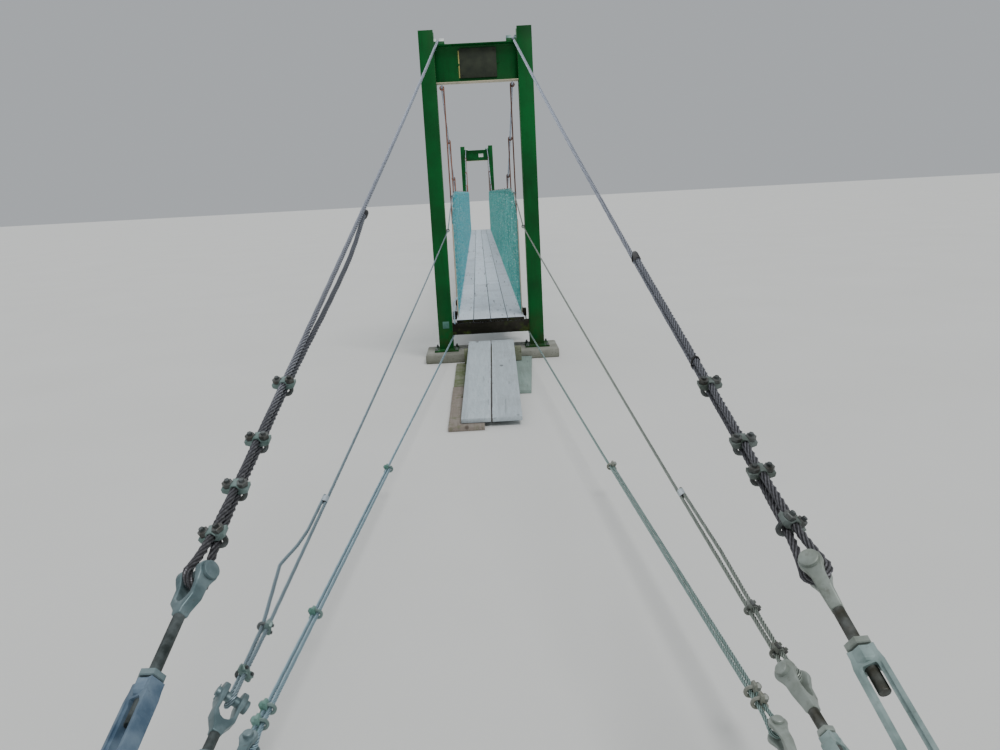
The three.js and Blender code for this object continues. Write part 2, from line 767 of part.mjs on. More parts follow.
function fencePanel(side) {
  const foot = deckTop + fitGap;
  const x = side.sign * fenceX;
  const faces = [x - fence.thickness / 2, x + fence.thickness / 2];
  const beyond = [x - fence.thickness, x + fence.thickness];
  const openings = cut(sideProfile(fenceOutline(fence.edge), ...beyond), fenceBars(...beyond));
  const panel = cut(sideProfile(fenceOutline(0), ...faces), openings);
  const endBars = ends.map((end) => {
    const bar = fence.endBarHalf;
    const y = end.sign * (fence.end - bar + fence.endBarProud);
    return block([x - bar, y - bar, foot + fence.endBarProud], [x + bar, y + bar, handHeightAt(fence.end) - bar]);
  });
  return join(panel, ...endBars);
}

// Ramps

const rampSlope = Math.atan2(ramp.headTop - ramp.footTop, ramp.footY - ramp.headY);

function rampUnderside(y) {
  return ramp.footTop + (ramp.footY - y) * Math.tan(rampSlope) - ramp.thickness / Math.cos(rampSlope);
}

function rampBoard(end, side) {
  const length = Math.hypot(ramp.footY - ramp.headY, ramp.headTop - ramp.footTop);
  const from = side.sign * (ramp.boardGap / 2);
  const to = side.sign * (ramp.boardGap / 2 + ramp.boardWidth);
  const board = block([Math.min(from, to), 0, -ramp.thickness], [Math.max(from, to), length, 0]);
  board.rotateX(rampSlope);
  board.translate(0, -length / 2, 0);
  board.rotateZ(-ramp.skewAngle * degrees);
  board.translate(ramp.shiftX, -ramp.footY + length / 2, ramp.footTop);
  if (end.sign > 0) {
    board.rotateZ(Math.PI);
  }
  return board;
}

function rampBed(end) {
  const { left, right, thickness } = bed;
  const rightMiddle = (right.near + right.far) / 2;
  const leftBoard = block([left.from, -left.near, 0], [left.to, -left.far, thickness]);
  const rightBoard = block([right.from, rightMiddle - right.near, 0], [right.to, rightMiddle - right.far, thickness]);
  rightBoard.translate((right.from + right.to) / -2, 0, 0);
  rightBoard.rotateZ(-right.skewAngle * degrees);
  rightBoard.translate((right.from + right.to) / 2, -rightMiddle, 0);
  const { halfLength, halfWidth, y, sunk } = bed.bearer;
  const bearer = block(
    [-halfLength, -y - halfWidth, thickness - sunk],
    [halfLength, -y + halfWidth, rampUnderside(y + halfWidth) - fitGap],
  );
  const whole = join(leftBoard, rightBoard, bearer);
  if (end.sign > 0) {
    whole.rotateZ(Math.PI);
  }
  return whole;
}

// Assembly

const bridge = new THREE.Group();

function add(parent, name, geometry, material) {
  const mesh = new THREE.Mesh(geometry, material);
  mesh.name = name;
  parent.add(mesh);
}

for (const end of ends) {
  const tower = new THREE.Group();
  const approach = new THREE.Group();
  add(tower, `${end.name}_footing`, towerFooting(end), finishes.concrete);
  add(tower, `${end.name}_crossbeam`, towerCrossbeam(end), finishes.greenPaint);
  add(tower, `${end.name}_end_timber`, endTimberAt(end), finishes.darkTimber);
  add(approach, `${end.name}_ramp_bed`, rampBed(end), finishes.oldTimber);
  for (const side of sides) {
    add(tower, `${end.name}_${side.name}_column`, towerColumn(end, side), finishes.greenPaint);
    add(tower, `${end.name}_${side.name}_saddle`, cableSaddle(end, side), finishes.galvanised);
    add(approach, `${end.name}_${side.name}_ramp_board`, rampBoard(end, side), finishes.greyTimber);
    add(approach, `${end.name}_${side.name}_anchor_block`, anchorFooting(end, side), finishes.concrete);
    add(approach, `${end.name}_${side.name}_turnbuckles`, anchorGear(end, side), finishes.galvanised);
  }
  bridge.add(tower, approach);
}
add(bridge, "near_plaque", beamPlate(ends[0], plaque), finishes.bronze);
add(bridge, "far_notice", beamPlate(ends[1], notice), finishes.whitePlate);

const span = new THREE.Group();
for (const side of sides) {
  add(span, `${side.name}_main_cable`, cable(side, "main", mainMiddle), finishes.rope);
  add(span, `${side.name}_hand_cable`, cable(side, "hand", handMiddle), finishes.rope);
  add(span, `${side.name}_deck_cable`, cable(side, "deck", deckMiddle), finishes.rope);
  add(span, `${side.name}_fence`, fencePanel(side), finishes.meshCoat);
}
hangerPlaces().forEach((y, i) => {
  add(span, `cross_frame_${String(i + 1).padStart(2, "0")}`, crossFrame(y), finishes.rustySteel);
});
for (let row = 0; row < plank.rows; row += 1) {
  add(span, `deck_planks_row_${row + 1}`, plankRow(row), finishes.greyTimber);
}
bridge.add(span);

export default bridge;
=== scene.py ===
"""The looks of a rope suspension footbridge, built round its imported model. Sizes are in metres."""

import math

import bmesh
import bpy
from mathutils import Matrix, Vector


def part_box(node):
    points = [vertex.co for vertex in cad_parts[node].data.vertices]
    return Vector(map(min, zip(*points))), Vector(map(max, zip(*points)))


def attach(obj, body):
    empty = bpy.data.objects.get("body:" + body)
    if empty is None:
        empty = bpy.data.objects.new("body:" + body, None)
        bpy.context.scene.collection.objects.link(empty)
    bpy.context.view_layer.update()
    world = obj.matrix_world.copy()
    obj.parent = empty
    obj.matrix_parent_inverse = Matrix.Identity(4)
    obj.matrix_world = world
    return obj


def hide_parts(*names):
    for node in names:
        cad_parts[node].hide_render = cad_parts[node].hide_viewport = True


bl_info = {
    "name": "Rope suspension footbridge",
    "version": (1, 0, 0),
    "blender": (4, 5, 0),
    "location": "View3D > Sidebar > Footbridge",
    "description": "Dresses the packed footbridge with detailed pieces and finishes",
    "category": "Add Mesh",
}

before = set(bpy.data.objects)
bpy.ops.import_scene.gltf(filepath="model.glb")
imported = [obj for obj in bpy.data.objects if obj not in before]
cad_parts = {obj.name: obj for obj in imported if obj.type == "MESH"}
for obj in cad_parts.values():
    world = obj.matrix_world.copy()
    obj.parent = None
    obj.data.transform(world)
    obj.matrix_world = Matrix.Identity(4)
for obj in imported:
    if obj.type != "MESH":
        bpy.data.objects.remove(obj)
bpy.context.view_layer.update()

# Sizes shared with the solids

GAP = 0.00035
ENDS = {"near": -1, "far": 1}
SIDES = {"left": -1, "right": 1}
CORNERS = [(end, side) for end in ENDS for side in SIDES]

TOWER_Y = 10.6
PORTAL_HALF = 0.5735
COLUMN = {"flange": 0.152, "depth": 0.157, "flange_thickness": 0.010, "web": 0.008, "top": 3.393}
COLUMN_X = PORTAL_HALF - COLUMN["flange"] / 2
BASE = {"side": 0.26, "thickness": 0.016, "bolt_inset": 0.022, "weld": 0.006}
FOOTING_TOP = 0.100
BEAM = {"top": 3.253, "depth": 0.372, "flange": 0.150, "flange_thickness": 0.012, "web": 0.009}
SADDLE = {
    "x": 0.382, "crest": 3.290, "bend": 0.300, "back": 19.8, "span": 25.5, "half": 0.075,
    "base": (0.314, 0.420), "packer": 0.030, "cheek_gap": 0.0015, "cheek_top": 0.062, "cheek_top_half": 0.045,
}
TAG = {"x": (-0.524, -0.454), "z": (0.352, 0.428), "thickness": 0.004}
SLEEVE = {"x": 0.400, "y": TOWER_Y + 0.060, "z": 1.400, "half": 0.012, "bore": 0.0105, "outer": 0.019}

DECK_TOP = 0.440
PLANK = {
    "width": 0.180, "thickness": 0.038, "gap": 0.0053, "joint": 0.006, "rows": 4, "end": TOWER_Y + 0.090,
}
DECK_HALF = (PLANK["rows"] * PLANK["width"] + (PLANK["rows"] - 1) * PLANK["gap"]) / 2
DECK_UNDER = DECK_TOP - PLANK["thickness"]
END_TIMBER_DEPTH = 0.128
FLOOR_BEAM = {"half": 0.440, "side": 0.089}
HANGER_SPACING = 1.2225
HANGERS_EACH_WAY = 8
HANGER_RADIUS = 0.008
HANGER_CLEARANCE = 0.0005
LACING_RADIUS = 0.0014
HANGER_X = DECK_HALF + HANGER_CLEARANCE + HANGER_RADIUS
HAND_HEIGHT = 1.800
FIRST_HAND_HEIGHT = 1.750

# The mesh is cut off just inside the fence's end and over the deck, and a little below the hand cable.
FENCE_END = 10.500
FENCE_INSET = 0.001
FENCE_DROP = 0.004

RAMP = {
    "width": 0.236, "gap": 0.006, "thickness": 0.038, "foot": (13.350, 0.07635), "head": (10.900, 0.235),
    "shift": -0.032, "skew": 1.1,
}
BED_LEFT = {"x": (-0.395, -0.110), "y": (13.430, 11.040)}
BED_RIGHT = {"x": (0.060, 0.370), "y": (12.360, TOWER_Y + 0.2593), "skew": 4.0}
BED_THICKNESS = 0.038
BED_SPLIT = {"y": -12.10, "gap": 0.008, "step": 0.006}
BEARER = {"half": 0.300, "half_width": 0.050, "y": 11.050}

ANCHOR_PIN_Y = TOWER_Y + 7.920
ANCHOR_PLATE = {
    "y": 18.600, "thickness": 0.020, "x": (0.560, 1.040), "z": (0.090, 0.600), "bolt_inset": 0.045,
}

# A stay's run is the distance of its upper pin from the tower. Clips, tail ends and bows are measured up
# the stay from that pin, and turns are in degrees round it. The turnbuckle is measured down from the pin.
STAYS = {
    "main": {
        "radius": 0.0127, "lay": 0.160, "slope": 0.36, "splay": (0.069, 0.0493, 0.059), "sag": 0.030,
        "run": {"left": 6.823, "right": 6.920}, "tail_end": {"left": 2.660, "right": 1.960},
        "clips": {"left": (0.150, 0.347, 0.580, 0.913), "right": (0.166, 0.380, 0.528, 0.858)},
        "turned_back": {"left": -90, "right": 90}, "jaw_turn": {"left": -120, "right": 30},
        "seat_on_tail": {"left": False, "right": True}, "bow_aim": 60, "bow": {
            "left": (
                (0.913, 0.0), (1.200, 0.006), (1.500, 0.015), (1.800, 0.021),
                (2.050, 0.023), (2.250, 0.018), (2.450, 0.009), (2.660, 0.0),
            ),
            "right": (),
        },
        "clip": {"seat": 0.034, "width": 0.079, "nut": 0.015, "bolt": 0.0085},
        "gear_shift": {"left": 0.054, "right": -0.016}, "body_turn": {"left": 0, "right": 90},
        "turnbuckle": {
            "pin": 0.0175, "ear": 0.030, "ear_thickness": 0.022, "throat": 0.048, "crotch": 0.100,
            "rod": 0.015, "nut_at": 0.250, "nut": 0.033, "nut_height": 0.018, "body": 0.550,
            "half": 0.036, "bar": 0.017, "collar": 0.044, "rod_shows": 0.060, "lug": 0.015,
        },
    },
    "hand": {
        "radius": 0.00635, "lay": 0.080, "slope": 0.11, "splay": (0.0465, 0.0295, 0.038), "sag": 0.020,
        "run": {"left": 7.030, "right": 7.075}, "tail_end": {"left": 1.050, "right": 0.980},
        "clips": {"left": (0.090, 0.278), "right": (0.093, 0.273)},
        "turned_back": {"left": 20, "right": 40}, "jaw_turn": {"left": -48, "right": 48},
        "seat_on_tail": {"left": False, "right": True}, "bow_aim": 0, "bow": {
            "left": ((0.278, 0.0), (0.572, 0.033), (0.700, 0.010), (0.800, 0.001), (1.050, 0.0)),
            "right": ((0.273, 0.0), (0.556, 0.005), (0.980, 0.0)),
        },
        "clip": {"seat": 0.020, "width": 0.046, "nut": 0.009, "bolt": 0.005},
        "gear_shift": {"left": 0.0, "right": 0.0}, "body_turn": {"left": 0, "right": 0},
        "turnbuckle": {
            "pin": 0.012, "ear": 0.028, "ear_thickness": 0.014, "throat": 0.038, "crotch": 0.086,
            "rod": 0.013, "nut_at": 0.180, "nut": 0.021, "nut_height": 0.014, "body": 0.420,
            "half": 0.032, "bar": 0.013, "collar": 0.030, "rod_shows": 0.050, "lug": 0.013,
        },
    },
    "deck": {
        "radius": 0.008, "lay": 0.100, "slope": 0.011, "splay": (0.067, 0.0465, 0.057), "sag": 0.012,
        "run": {"left": 6.610, "right": 6.700}, "tail_end": {"left": 2.450, "right": 2.370},
        "clips": {"left": (0.096, 0.172, 0.760, 2.410), "right": (0.136, 0.194, 2.320)},
        "turned_back": {"left": 180, "right": 0}, "jaw_turn": {"left": 180, "right": 0},
        "seat_on_tail": {"left": False, "right": True}, "bow_aim": 0, "bow": {"left": (), "right": ()},
        "clip": {"seat": 0.028, "width": 0.062, "nut": 0.0112, "bolt": 0.007},
        "gear_shift": {"left": 0.0, "right": 0.0}, "body_turn": {"left": 0, "right": 0},
        "turnbuckle": {
            "pin": 0.012, "ear": 0.028, "ear_thickness": 0.015, "throat": 0.038, "crotch": 0.090,
            "rod": 0.0135, "nut_at": 0.185, "nut": 0.021, "nut_height": 0.016, "body": 0.460,
            "half": 0.033, "bar": 0.013, "collar": 0.030, "rod_shows": 0.050, "lug": 0.013,
        },
    },
}
DECK_CABLE_TOWER_X = 0.412
DECK_CABLE_SPAN_X = 0.430
COLUMN_CLEARANCE = 0.010

CURVE_END = TOWER_Y - SADDLE["bend"] * math.sin(math.radians(SADDLE["span"]))
MAIN_SAG = math.tan(math.radians(SADDLE["span"])) * CURVE_END / 2
MAIN_LOW = SADDLE["crest"] - SADDLE["bend"] * (1 - math.cos(math.radians(SADDLE["span"]))) - MAIN_SAG
MAIN_SPAN_X = HANGER_X + HANGER_RADIUS + STAYS["main"]["radius"] + GAP
HAND_SPAN_X = HANGER_X - HANGER_RADIUS - STAYS["hand"]["radius"] - GAP
MESH_CLEARANCE = 0.002
FENCE_X = HAND_SPAN_X - STAYS["hand"]["radius"] - GAP - MESH_CLEARANCE
DECK_CABLE_SPAN_Z = DECK_UNDER - FLOOR_BEAM["side"] - STAYS["deck"]["radius"] - GAP
DECK_CABLE_TOWER_Z = DECK_UNDER - END_TIMBER_DEPTH - STAYS["deck"]["radius"] - GAP
HANGER_PLACES = [i * HANGER_SPACING for i in range(-HANGERS_EACH_WAY, HANGERS_EACH_WAY + 1)]

# A rope's strands, the depth of the groove between two as a share of its radius, and the wires in a lay.
STRANDS = 6
STRAND_GROOVE = 0.77
WIRES_PER_LAY = 14

# Points along a rope in each lay, beside and round a loop's pin, and over a saddle. The points of a stay
# end a little below the tower, where the next part of the rope begins.
ROPE_STEPS = {"stay": 7, "main": 8, "hand": 5, "deck": 5}
LOOP_STEPS = {"beside": 8, "round": 10}
SADDLE_STEPS = 16
STAY_TOP = 0.985


def srgb(red, green, blue):
    """A colour as the eye reads it, 0 to 255, in the renderer's linear numbers."""
    return tuple((value / 255) ** 2.2 for value in (red, green, blue))


class FootbridgeSizes(bpy.types.PropertyGroup):
    """Sizes of the detail that the solids leave out"""

    mesh_size: bpy.props.FloatProperty(
        name="Mesh size", description="Distance between parallel wires of the side mesh",
        default=0.050, min=0.02, max=0.2, unit="LENGTH")
    mesh_wire: bpy.props.FloatProperty(
        name="Mesh wire", description="Radius of the coated wire of the side mesh",
        default=0.0022, min=0.0005, max=0.01, unit="LENGTH")
    plank_length: bpy.props.FloatProperty(
        name="Plank length", description="Length of one deck plank, butted over the floor beams",
        default=4 * HANGER_SPACING, min=1.0, max=8.0, unit="LENGTH")
    plank_round: bpy.props.FloatProperty(
        name="Worn edge", description="Radius of the worn edges of the boards",
        default=0.004, min=0.0005, max=0.01, unit="LENGTH")
    steel_round: bpy.props.FloatProperty(
        name="Steel edge", description="Radius of the rolled steel's edges",
        default=0.0015, min=0.0002, max=0.005, unit="LENGTH")
    nail_head: bpy.props.FloatProperty(
        name="Nail head", description="Radius of the nail heads in the deck",
        default=0.006, min=0.002, max=0.01, unit="LENGTH")


class FootbridgeColours(bpy.types.PropertyGroup):
    """Main colour of each finish"""

    paint: bpy.props.FloatVectorProperty(
        name="Paint", description="Green paint of the towers", subtype="COLOR",
        size=3, min=0, max=1, default=srgb(2, 88, 40))
    mesh: bpy.props.FloatVectorProperty(
        name="Mesh", description="Coating of the side mesh", subtype="COLOR",
        size=3, min=0, max=1, default=srgb(62, 168, 160))
    deck: bpy.props.FloatVectorProperty(
        name="Deck", description="Weathered deck planks", subtype="COLOR",
        size=3, min=0, max=1, default=srgb(222, 234, 246))
    ramp: bpy.props.FloatVectorProperty(
        name="Ramp", description="Boards of the ramp", subtype="COLOR",
        size=3, min=0, max=1, default=srgb(184, 196, 202))
    dark: bpy.props.FloatVectorProperty(
        name="Dark timber", description="End timbers and floor beams", subtype="COLOR",
        size=3, min=0, max=1, default=srgb(26, 27, 20))
    old: bpy.props.FloatVectorProperty(
        name="Old timber", description="Old boards under the ramp", subtype="COLOR",
        size=3, min=0, max=1, default=srgb(118, 122, 100))
    rope: bpy.props.FloatVectorProperty(
        name="Main rope", description="Greased steel of the main cables", subtype="COLOR",
        size=3, min=0, max=1, default=srgb(134, 133, 138))
    thin_rope: bpy.props.FloatVectorProperty(
        name="Thin rope", description="Galvanised steel of the hand and deck cables", subtype="COLOR",
        size=3, min=0, max=1, default=srgb(182, 214, 228))
    fittings: bpy.props.FloatVectorProperty(
        name="Fittings", description="Galvanised clips and turnbuckles", subtype="COLOR",
        size=3, min=0, max=1, default=srgb(104, 126, 130))
    hanger: bpy.props.FloatVectorProperty(
        name="Hangers", description="Rusty hanger rods", subtype="COLOR",
        size=3, min=0, max=1, default=srgb(160, 112, 94))
    concrete: bpy.props.FloatVectorProperty(
        name="Concrete", description="Tower bases and anchor blocks", subtype="COLOR",
        size=3, min=0, max=1, default=srgb(150, 149, 142))


def sizes():
    return bpy.context.scene.footbridge_sizes


def colours():
    return bpy.context.scene.footbridge_colours


# Arithmetic on the values of a material

class Link:
    """A value in a material; arithmetic on it adds Math nodes."""

    def __init__(self, finish, socket):
        self.finish = finish
        self.socket = socket

    def math(self, operation, first, second=0.0):
        return self.finish.node("ShaderNodeMath", {"operation": operation}, {0: first, 1: second})

    def __add__(self, other):
        return self.math("ADD", self, other)

    def __radd__(self, other):
        return self.math("ADD", other, self)

    def __sub__(self, other):
        return self.math("SUBTRACT", self, other)

    def __rsub__(self, other):
        return self.math("SUBTRACT", other, self)

    def __mul__(self, other):
        return self.math("MULTIPLY", self, other)

    def __rmul__(self, other):
        return self.math("MULTIPLY", other, self)

    def __truediv__(self, other):
        return self.math("DIVIDE", self, other)

    def floor(self):
        return self.math("FLOOR", self)

    def sine(self):
        return self.math("SINE", self)

    def size(self):
        return self.math("ABSOLUTE", self)


class Finish:
    """One procedural material while it is put together."""

    def __init__(self, name):
        self.material = bpy.data.materials.new(name)
        self.material.use_nodes = True
        self.tree = self.material.node_tree
        self.shader = self.tree.nodes["Principled BSDF"]

    def node(self, kind, settings=None, inputs=None, output=0):
        made = self.tree.nodes.new(kind)
        for name, value in (settings or {}).items():
            setattr(made, name, value)
        for key, value in (inputs or {}).items():
            self.feed(made.inputs[key], value)
        return Link(self, made.outputs[output])

    def feed(self, socket, value):
        if isinstance(value, Link):
            self.tree.links.new(value.socket, socket)
        else:
            socket.default_value = value

    def place(self, scale=(1, 1, 1), turn=(0, 0, 0)):
        where = self.node("ShaderNodeTexCoord", output="Object")
        return self.node("ShaderNodeMapping", None, {"Vector": where, "Scale": scale, "Rotation": turn})

    def split(self, vector):
        return [self.node("ShaderNodeSeparateXYZ", None, {0: vector}, output) for output in "XYZ"]

    def noise(self, where, scale, detail, roughness=0.55):
        return self.node("ShaderNodeTexNoise", None, {
            "Vector": where, "Scale": scale, "Detail": detail, "Roughness": roughness})

    def cells(self, where, scale):
        return self.node("ShaderNodeTexVoronoi", None, {"Vector": where, "Scale": scale})

    def stretch(self, where, scale):
        return self.node("ShaderNodeMapping", None, {"Vector": where, "Scale": scale})

    def point(self, x, y, z):
        return self.node("ShaderNodeCombineXYZ", None, {0: x, 1: y, 2: z})

    def share(self, value, low, high, start=0.0, end=1.0):
        return self.node("ShaderNodeMapRange", None, {
            "Value": value, "From Min": low, "From Max": high, "To Min": start, "To Max": end})

    def blend(self, amount, first, second):
        return self.node("ShaderNodeMix", {"data_type": "RGBA"}, {
            0: amount, 6: self.colour(first), 7: self.colour(second)}, 2)

    def darken(self, colour, amount):
        return self.node("ShaderNodeMix", {"data_type": "RGBA", "blend_type": "MULTIPLY"}, {
            0: 1.0, 6: self.colour(colour), 7: self.node("ShaderNodeCombineColor", None, {
                0: amount, 1: amount, 2: amount})}, 2)

    def colour(self, value):
        return value if isinstance(value, Link) else (*value[:3], 1.0)

    def finish(self, colour, roughness, height=None, bump=0.3, depth=0.001,
               metallic=0.0, coat=0.0, shine=0.5):
        self.feed(self.shader.inputs["Base Color"], self.colour(colour))
        self.feed(self.shader.inputs["Roughness"], roughness)
        self.feed(self.shader.inputs["Metallic"], metallic)
        self.shader.inputs["Coat Weight"].default_value = coat
        self.shader.inputs["Specular IOR Level"].default_value = shine
        if height is not None:
            normal = self.node("ShaderNodeBump", None, {
                "Height": height, "Strength": bump, "Distance": depth})
            self.feed(self.shader.inputs["Normal"], normal)
        return self.material


def mixed(colour, share, other):
    return tuple(a * (1 - share) + b * share for a, b in zip(colour, other))


def weathered_green(name):
    """Brushed paint with streaks of dirt, green growth low down and small rust spots."""
    m = Finish(name)
    paint = tuple(colours().paint)
    where = m.place()
    cloud = m.noise(where, 2.2, 5)
    streak = m.noise(m.place((9, 9, 0.7)), 3.0, 5)
    shaded, faded = mixed(paint, 0.4, srgb(0, 30, 10)), mixed(paint, 0.1, srgb(20, 150, 60))
    colour = m.blend(m.share(cloud, 0.35, 0.7), shaded, faded)
    colour = m.blend(m.share(streak, 0.55, 0.8, 0.0, 0.4), colour, srgb(8, 46, 22))
    fine = m.noise(where, 60, 4, 0.7)
    spots = m.share(m.noise(where, 28, 6, 0.7), 0.71, 0.75)
    colour = m.blend(spots, colour, srgb(96, 58, 34))
    low = m.share(m.split(where)[2], 0.55, 0.1)
    grime = low * m.share(m.noise(where, 14, 5), 0.35, 0.65)
    colour = m.blend(grime * 0.7, colour, srgb(58, 62, 38))
    roughness = m.share(cloud, 0.3, 0.7, 0.38, 0.55) + spots * 0.3 + grime * 0.3
    return m.finish(colour, roughness, fine + spots * 1.5 + streak * 0.3, 0.2, 0.0005, shine=0.2)


def galvanised(name, colour, rust_share, shine):
    """Zinc gone dull, with white bloom, and rust where it is worn."""
    m = Finish(name)
    where = m.place()
    cloud = m.noise(where, 20, 4, 0.55)
    dull, bloom = mixed(colour, 0.22, (0.02, 0.025, 0.025)), mixed(colour, 0.18, (0.62, 0.70, 0.72))
    base = m.blend(m.share(cloud, 0.35, 0.65), dull, bloom)
    grime = m.share(m.noise(where, 46, 5, 0.6), 0.62 - rust_share * 0.3, 0.78 - rust_share * 0.3)
    base = m.blend(grime * (0.4 + rust_share * 0.5), base, srgb(70, 60, 48))
    roughness = m.share(cloud, 0.3, 0.7, 0.38, 0.55) + grime * 0.25
    height = m.noise(where, 240, 3, 0.6) + cloud * 0.8
    return m.finish(base, roughness, height, 0.2, 0.0004, metallic=shine * (1.0 - grime * 0.7))


def wire_rope(name, colour, radius, lay, worn=0.0, tail=0.0, tail_shade=0.6):
    """Stranded steel: fine wires across each strand, painted shade in the grooves and over the length from
    the near tail's end that tail gives, and a painted sky reflection that makes it paler high up."""
    m = Finish(name)
    along, around = m.split(m.node("ShaderNodeUVMap", {"uv_map": "UVMap"}))[:2]
    wires = (along * (2 * math.pi * WIRES_PER_LAY / lay) - around * (2 * math.pi * STRANDS)).sine()
    where = m.place()
    cloud = m.noise(where, 18, 4)
    # Painted shade: the grooves between the strands are darkened.
    groove_shade = m.share((around * (STRANDS * math.pi)).sine().size(), 0.85, 0.25)
    # Painted sky reflection: paler and bluer from 0.9 m up to 2.3 m high, by the share that worn gives.
    tone = m.blend(m.share(m.split(where)[2], 0.9, 2.3, 0.0, worn), colour, srgb(222, 232, 252))
    base = m.blend(m.share(cloud, 0.35, 0.7, 0.0, 0.4), tone, m.darken(tone, 0.62))
    base = m.blend(m.share(wires, -0.9, 0.6, 0.35, 0.0), base, m.darken(tone, 0.3))
    base = m.blend(groove_shade, base, m.darken(tone, 0.12))
    # Painted shade over the turned-back tail, from the near end up to the length tail gives, as in the loaded
    # rope's shadow.
    base = m.blend(m.share(along, tail - 0.15, tail, tail_shade, 0.0), base, m.darken(tone, 0.14))
    rust = m.share(m.noise(where, 7, 5, 0.7), 0.64, 0.78, 0.0, 0.25)
    base = m.blend(rust, base, srgb(88, 72, 60))
    roughness = m.share(cloud, 0.3, 0.7, 0.36, 0.52) + groove_shade * 0.2
    return m.finish(base, roughness, wires * 0.5 + 1.0, 0.6, radius * 0.05, metallic=0.6 - rust)


def rusty(name, colour, scale):
    """Hot rolled rod gone brown, with paler scale."""
    m = Finish(name)
    where = m.place((1, 1, 0.35))
    cloud = m.noise(where, 30, 6, 0.65)
    fine = m.noise(m.place(), 160, 4, 0.7)
    base = m.blend(m.share(cloud, 0.35, 0.65), mixed(colour, 0.4, srgb(52, 36, 28)), colour)
    base = m.blend(m.share(fine, 0.55, 0.75, 0.0, 0.6), base, scale)
    return m.finish(base, m.share(cloud, 0.3, 0.7, 0.55, 0.8), fine + cloud, 0.5, 0.0006, metallic=0.35)


def coated_wire(name, mesh):
    """Glossy coloured coating over wire, dusty in places, with painted near-white glints in scattered spots.
    """
    m = Finish(name)
    where = m.place()
    cloud = m.noise(where, 3.5, 5)
    deep, pale = mixed(mesh, 0.35, srgb(20, 110, 104)), mixed(mesh, 0.3, srgb(120, 214, 214))
    base = m.blend(m.share(cloud, 0.3, 0.7), deep, pale)
    dust = m.share(m.noise(where, 45, 4, 0.6), 0.55, 0.8, 0.0, 0.4)
    base = m.blend(dust, base, srgb(150, 186, 176))
    # Painted highlights: near-white glints in scattered spots.
    painted_glints = m.share(m.noise(where, 30, 3, 0.6), 0.60, 0.66)
    base = m.blend(painted_glints * 0.8, base, srgb(214, 244, 244))
    return m.finish(base, 0.28 + dust * 0.5, m.noise(where, 220, 2), 0.15, 0.0003, coat=0.3)


# Width and length of one board. Where a piece is a single board they are larger than the piece.
DECK_BOARD = (PLANK["width"] + PLANK["gap"], 4 * HANGER_SPACING)
RAMP_BOARD = (RAMP["width"] + RAMP["gap"], 50.0)
WHOLE_BOARD = (9.0, 50.0)
CROSS_BOARD = (9.0, 9.0)


def timber(name, colour, bleach, grain_turn=(0, 0, 0), moss=0.0, board=WHOLE_BOARD, cracks=0.5):
    """Weathered boards of one width and length, along Y before their turn: raised grain, checks, knots
    and stains, and a shade of its own for each board."""
    m = Finish(name)
    where = m.place(turn=grain_turn)
    x, y, z = m.split(where)
    width, length = board
    cell = m.point((x / width).floor(), (y / length + 0.5).floor(), 3.0)
    which = m.node("ShaderNodeTexWhiteNoise", {"noise_dimensions": "3D"}, {"Vector": cell})
    moved = m.point(x + which * 7.0, y + which * 13.0, z + which * 5.0)
    stretched = m.stretch(moved, (1.0, 0.045, 1.0))
    sway = m.noise(m.stretch(moved, (1.0, 0.35, 1.0)), 5.0, 3)
    bent = m.node("ShaderNodeVectorMath", {"operation": "ADD"}, {
        0: stretched, 1: m.point(sway * 0.05, 0.0, sway * 0.05)})
    rings = m.noise(bent, 55, 5, 0.65)
    fibres = m.noise(bent, 260, 4, 0.7)
    check = m.share(m.noise(bent, 34, 3, 0.5), 0.655, 0.70)
    knots = m.share(m.cells(m.stretch(moved, (1.0, 0.5, 1.0)), 5.5), 0.115, 0.06)
    stain = m.noise(moved, 2.6, 5, 0.6)
    light = mixed(colour, bleach * 0.5, srgb(214, 218, 220))
    dark = mixed(colour, 0.55, srgb(70, 66, 60))
    base = m.blend(m.share(rings, 0.3, 0.68), light, mixed(colour, 0.3, dark))
    base = m.blend(m.share(fibres, 0.5, 0.75, 0.0, 0.5), base, dark)
    base = m.blend(m.share(stain, 0.5, 0.72, 0.0, 0.5), base, mixed(colour, 0.5, srgb(104, 100, 92)))
    base = m.blend(knots * 0.8, base, mixed(colour, 0.75, srgb(52, 42, 34)))
    base = m.blend(check * cracks, base, srgb(38, 35, 33))
    base = m.darken(base, 0.86 + which * 0.24)
    if moss:
        growth = m.share(m.noise(where, 9, 6, 0.65), 0.62 - moss * 0.25, 0.74 - moss * 0.2)
        base = m.blend(growth * 0.8, base, mixed(srgb(78, 96, 44), 0.3, colour))
    height = rings * 0.8 + fibres * 0.5 - check * (2.5 * cracks) + knots * 0.4
    return m.finish(base, 0.78 + stain * 0.15, height, 0.4, 0.0012, shine=0.15)


def cast_concrete(name):
    """Board-marked concrete with pits, and damp low down."""
    m = Finish(name)
    where = m.place()
    cloud = m.noise(where, 3.2, 6, 0.6)
    grit = m.noise(where, 90, 5, 0.75)
    pits = m.share(m.cells(where, 42), 0.22, 0.1)
    lines = m.share((m.split(where)[2] * (2 * math.pi / 0.16)).sine(), 0.985, 1.0)
    shade = tuple(colours().concrete)
    dirty, chalky = mixed(shade, 0.3, srgb(98, 96, 88)), mixed(shade, 0.3, srgb(196, 196, 188))
    base = m.blend(m.share(cloud, 0.35, 0.68), dirty, chalky)
    base = m.blend(m.share(grit, 0.55, 0.75, 0.0, 0.35), base, srgb(92, 90, 84))
    base = m.blend(pits * 0.6, base, srgb(70, 68, 62))
    damp = m.share(m.split(where)[2] + cloud * 0.25, 0.32, 0.12)
    base = m.blend(damp * 0.6, base, srgb(74, 80, 54))
    return m.finish(base, 0.85, grit * 0.7 - pits * 1.6 + lines * 0.8 + cloud, 0.6, 0.003)


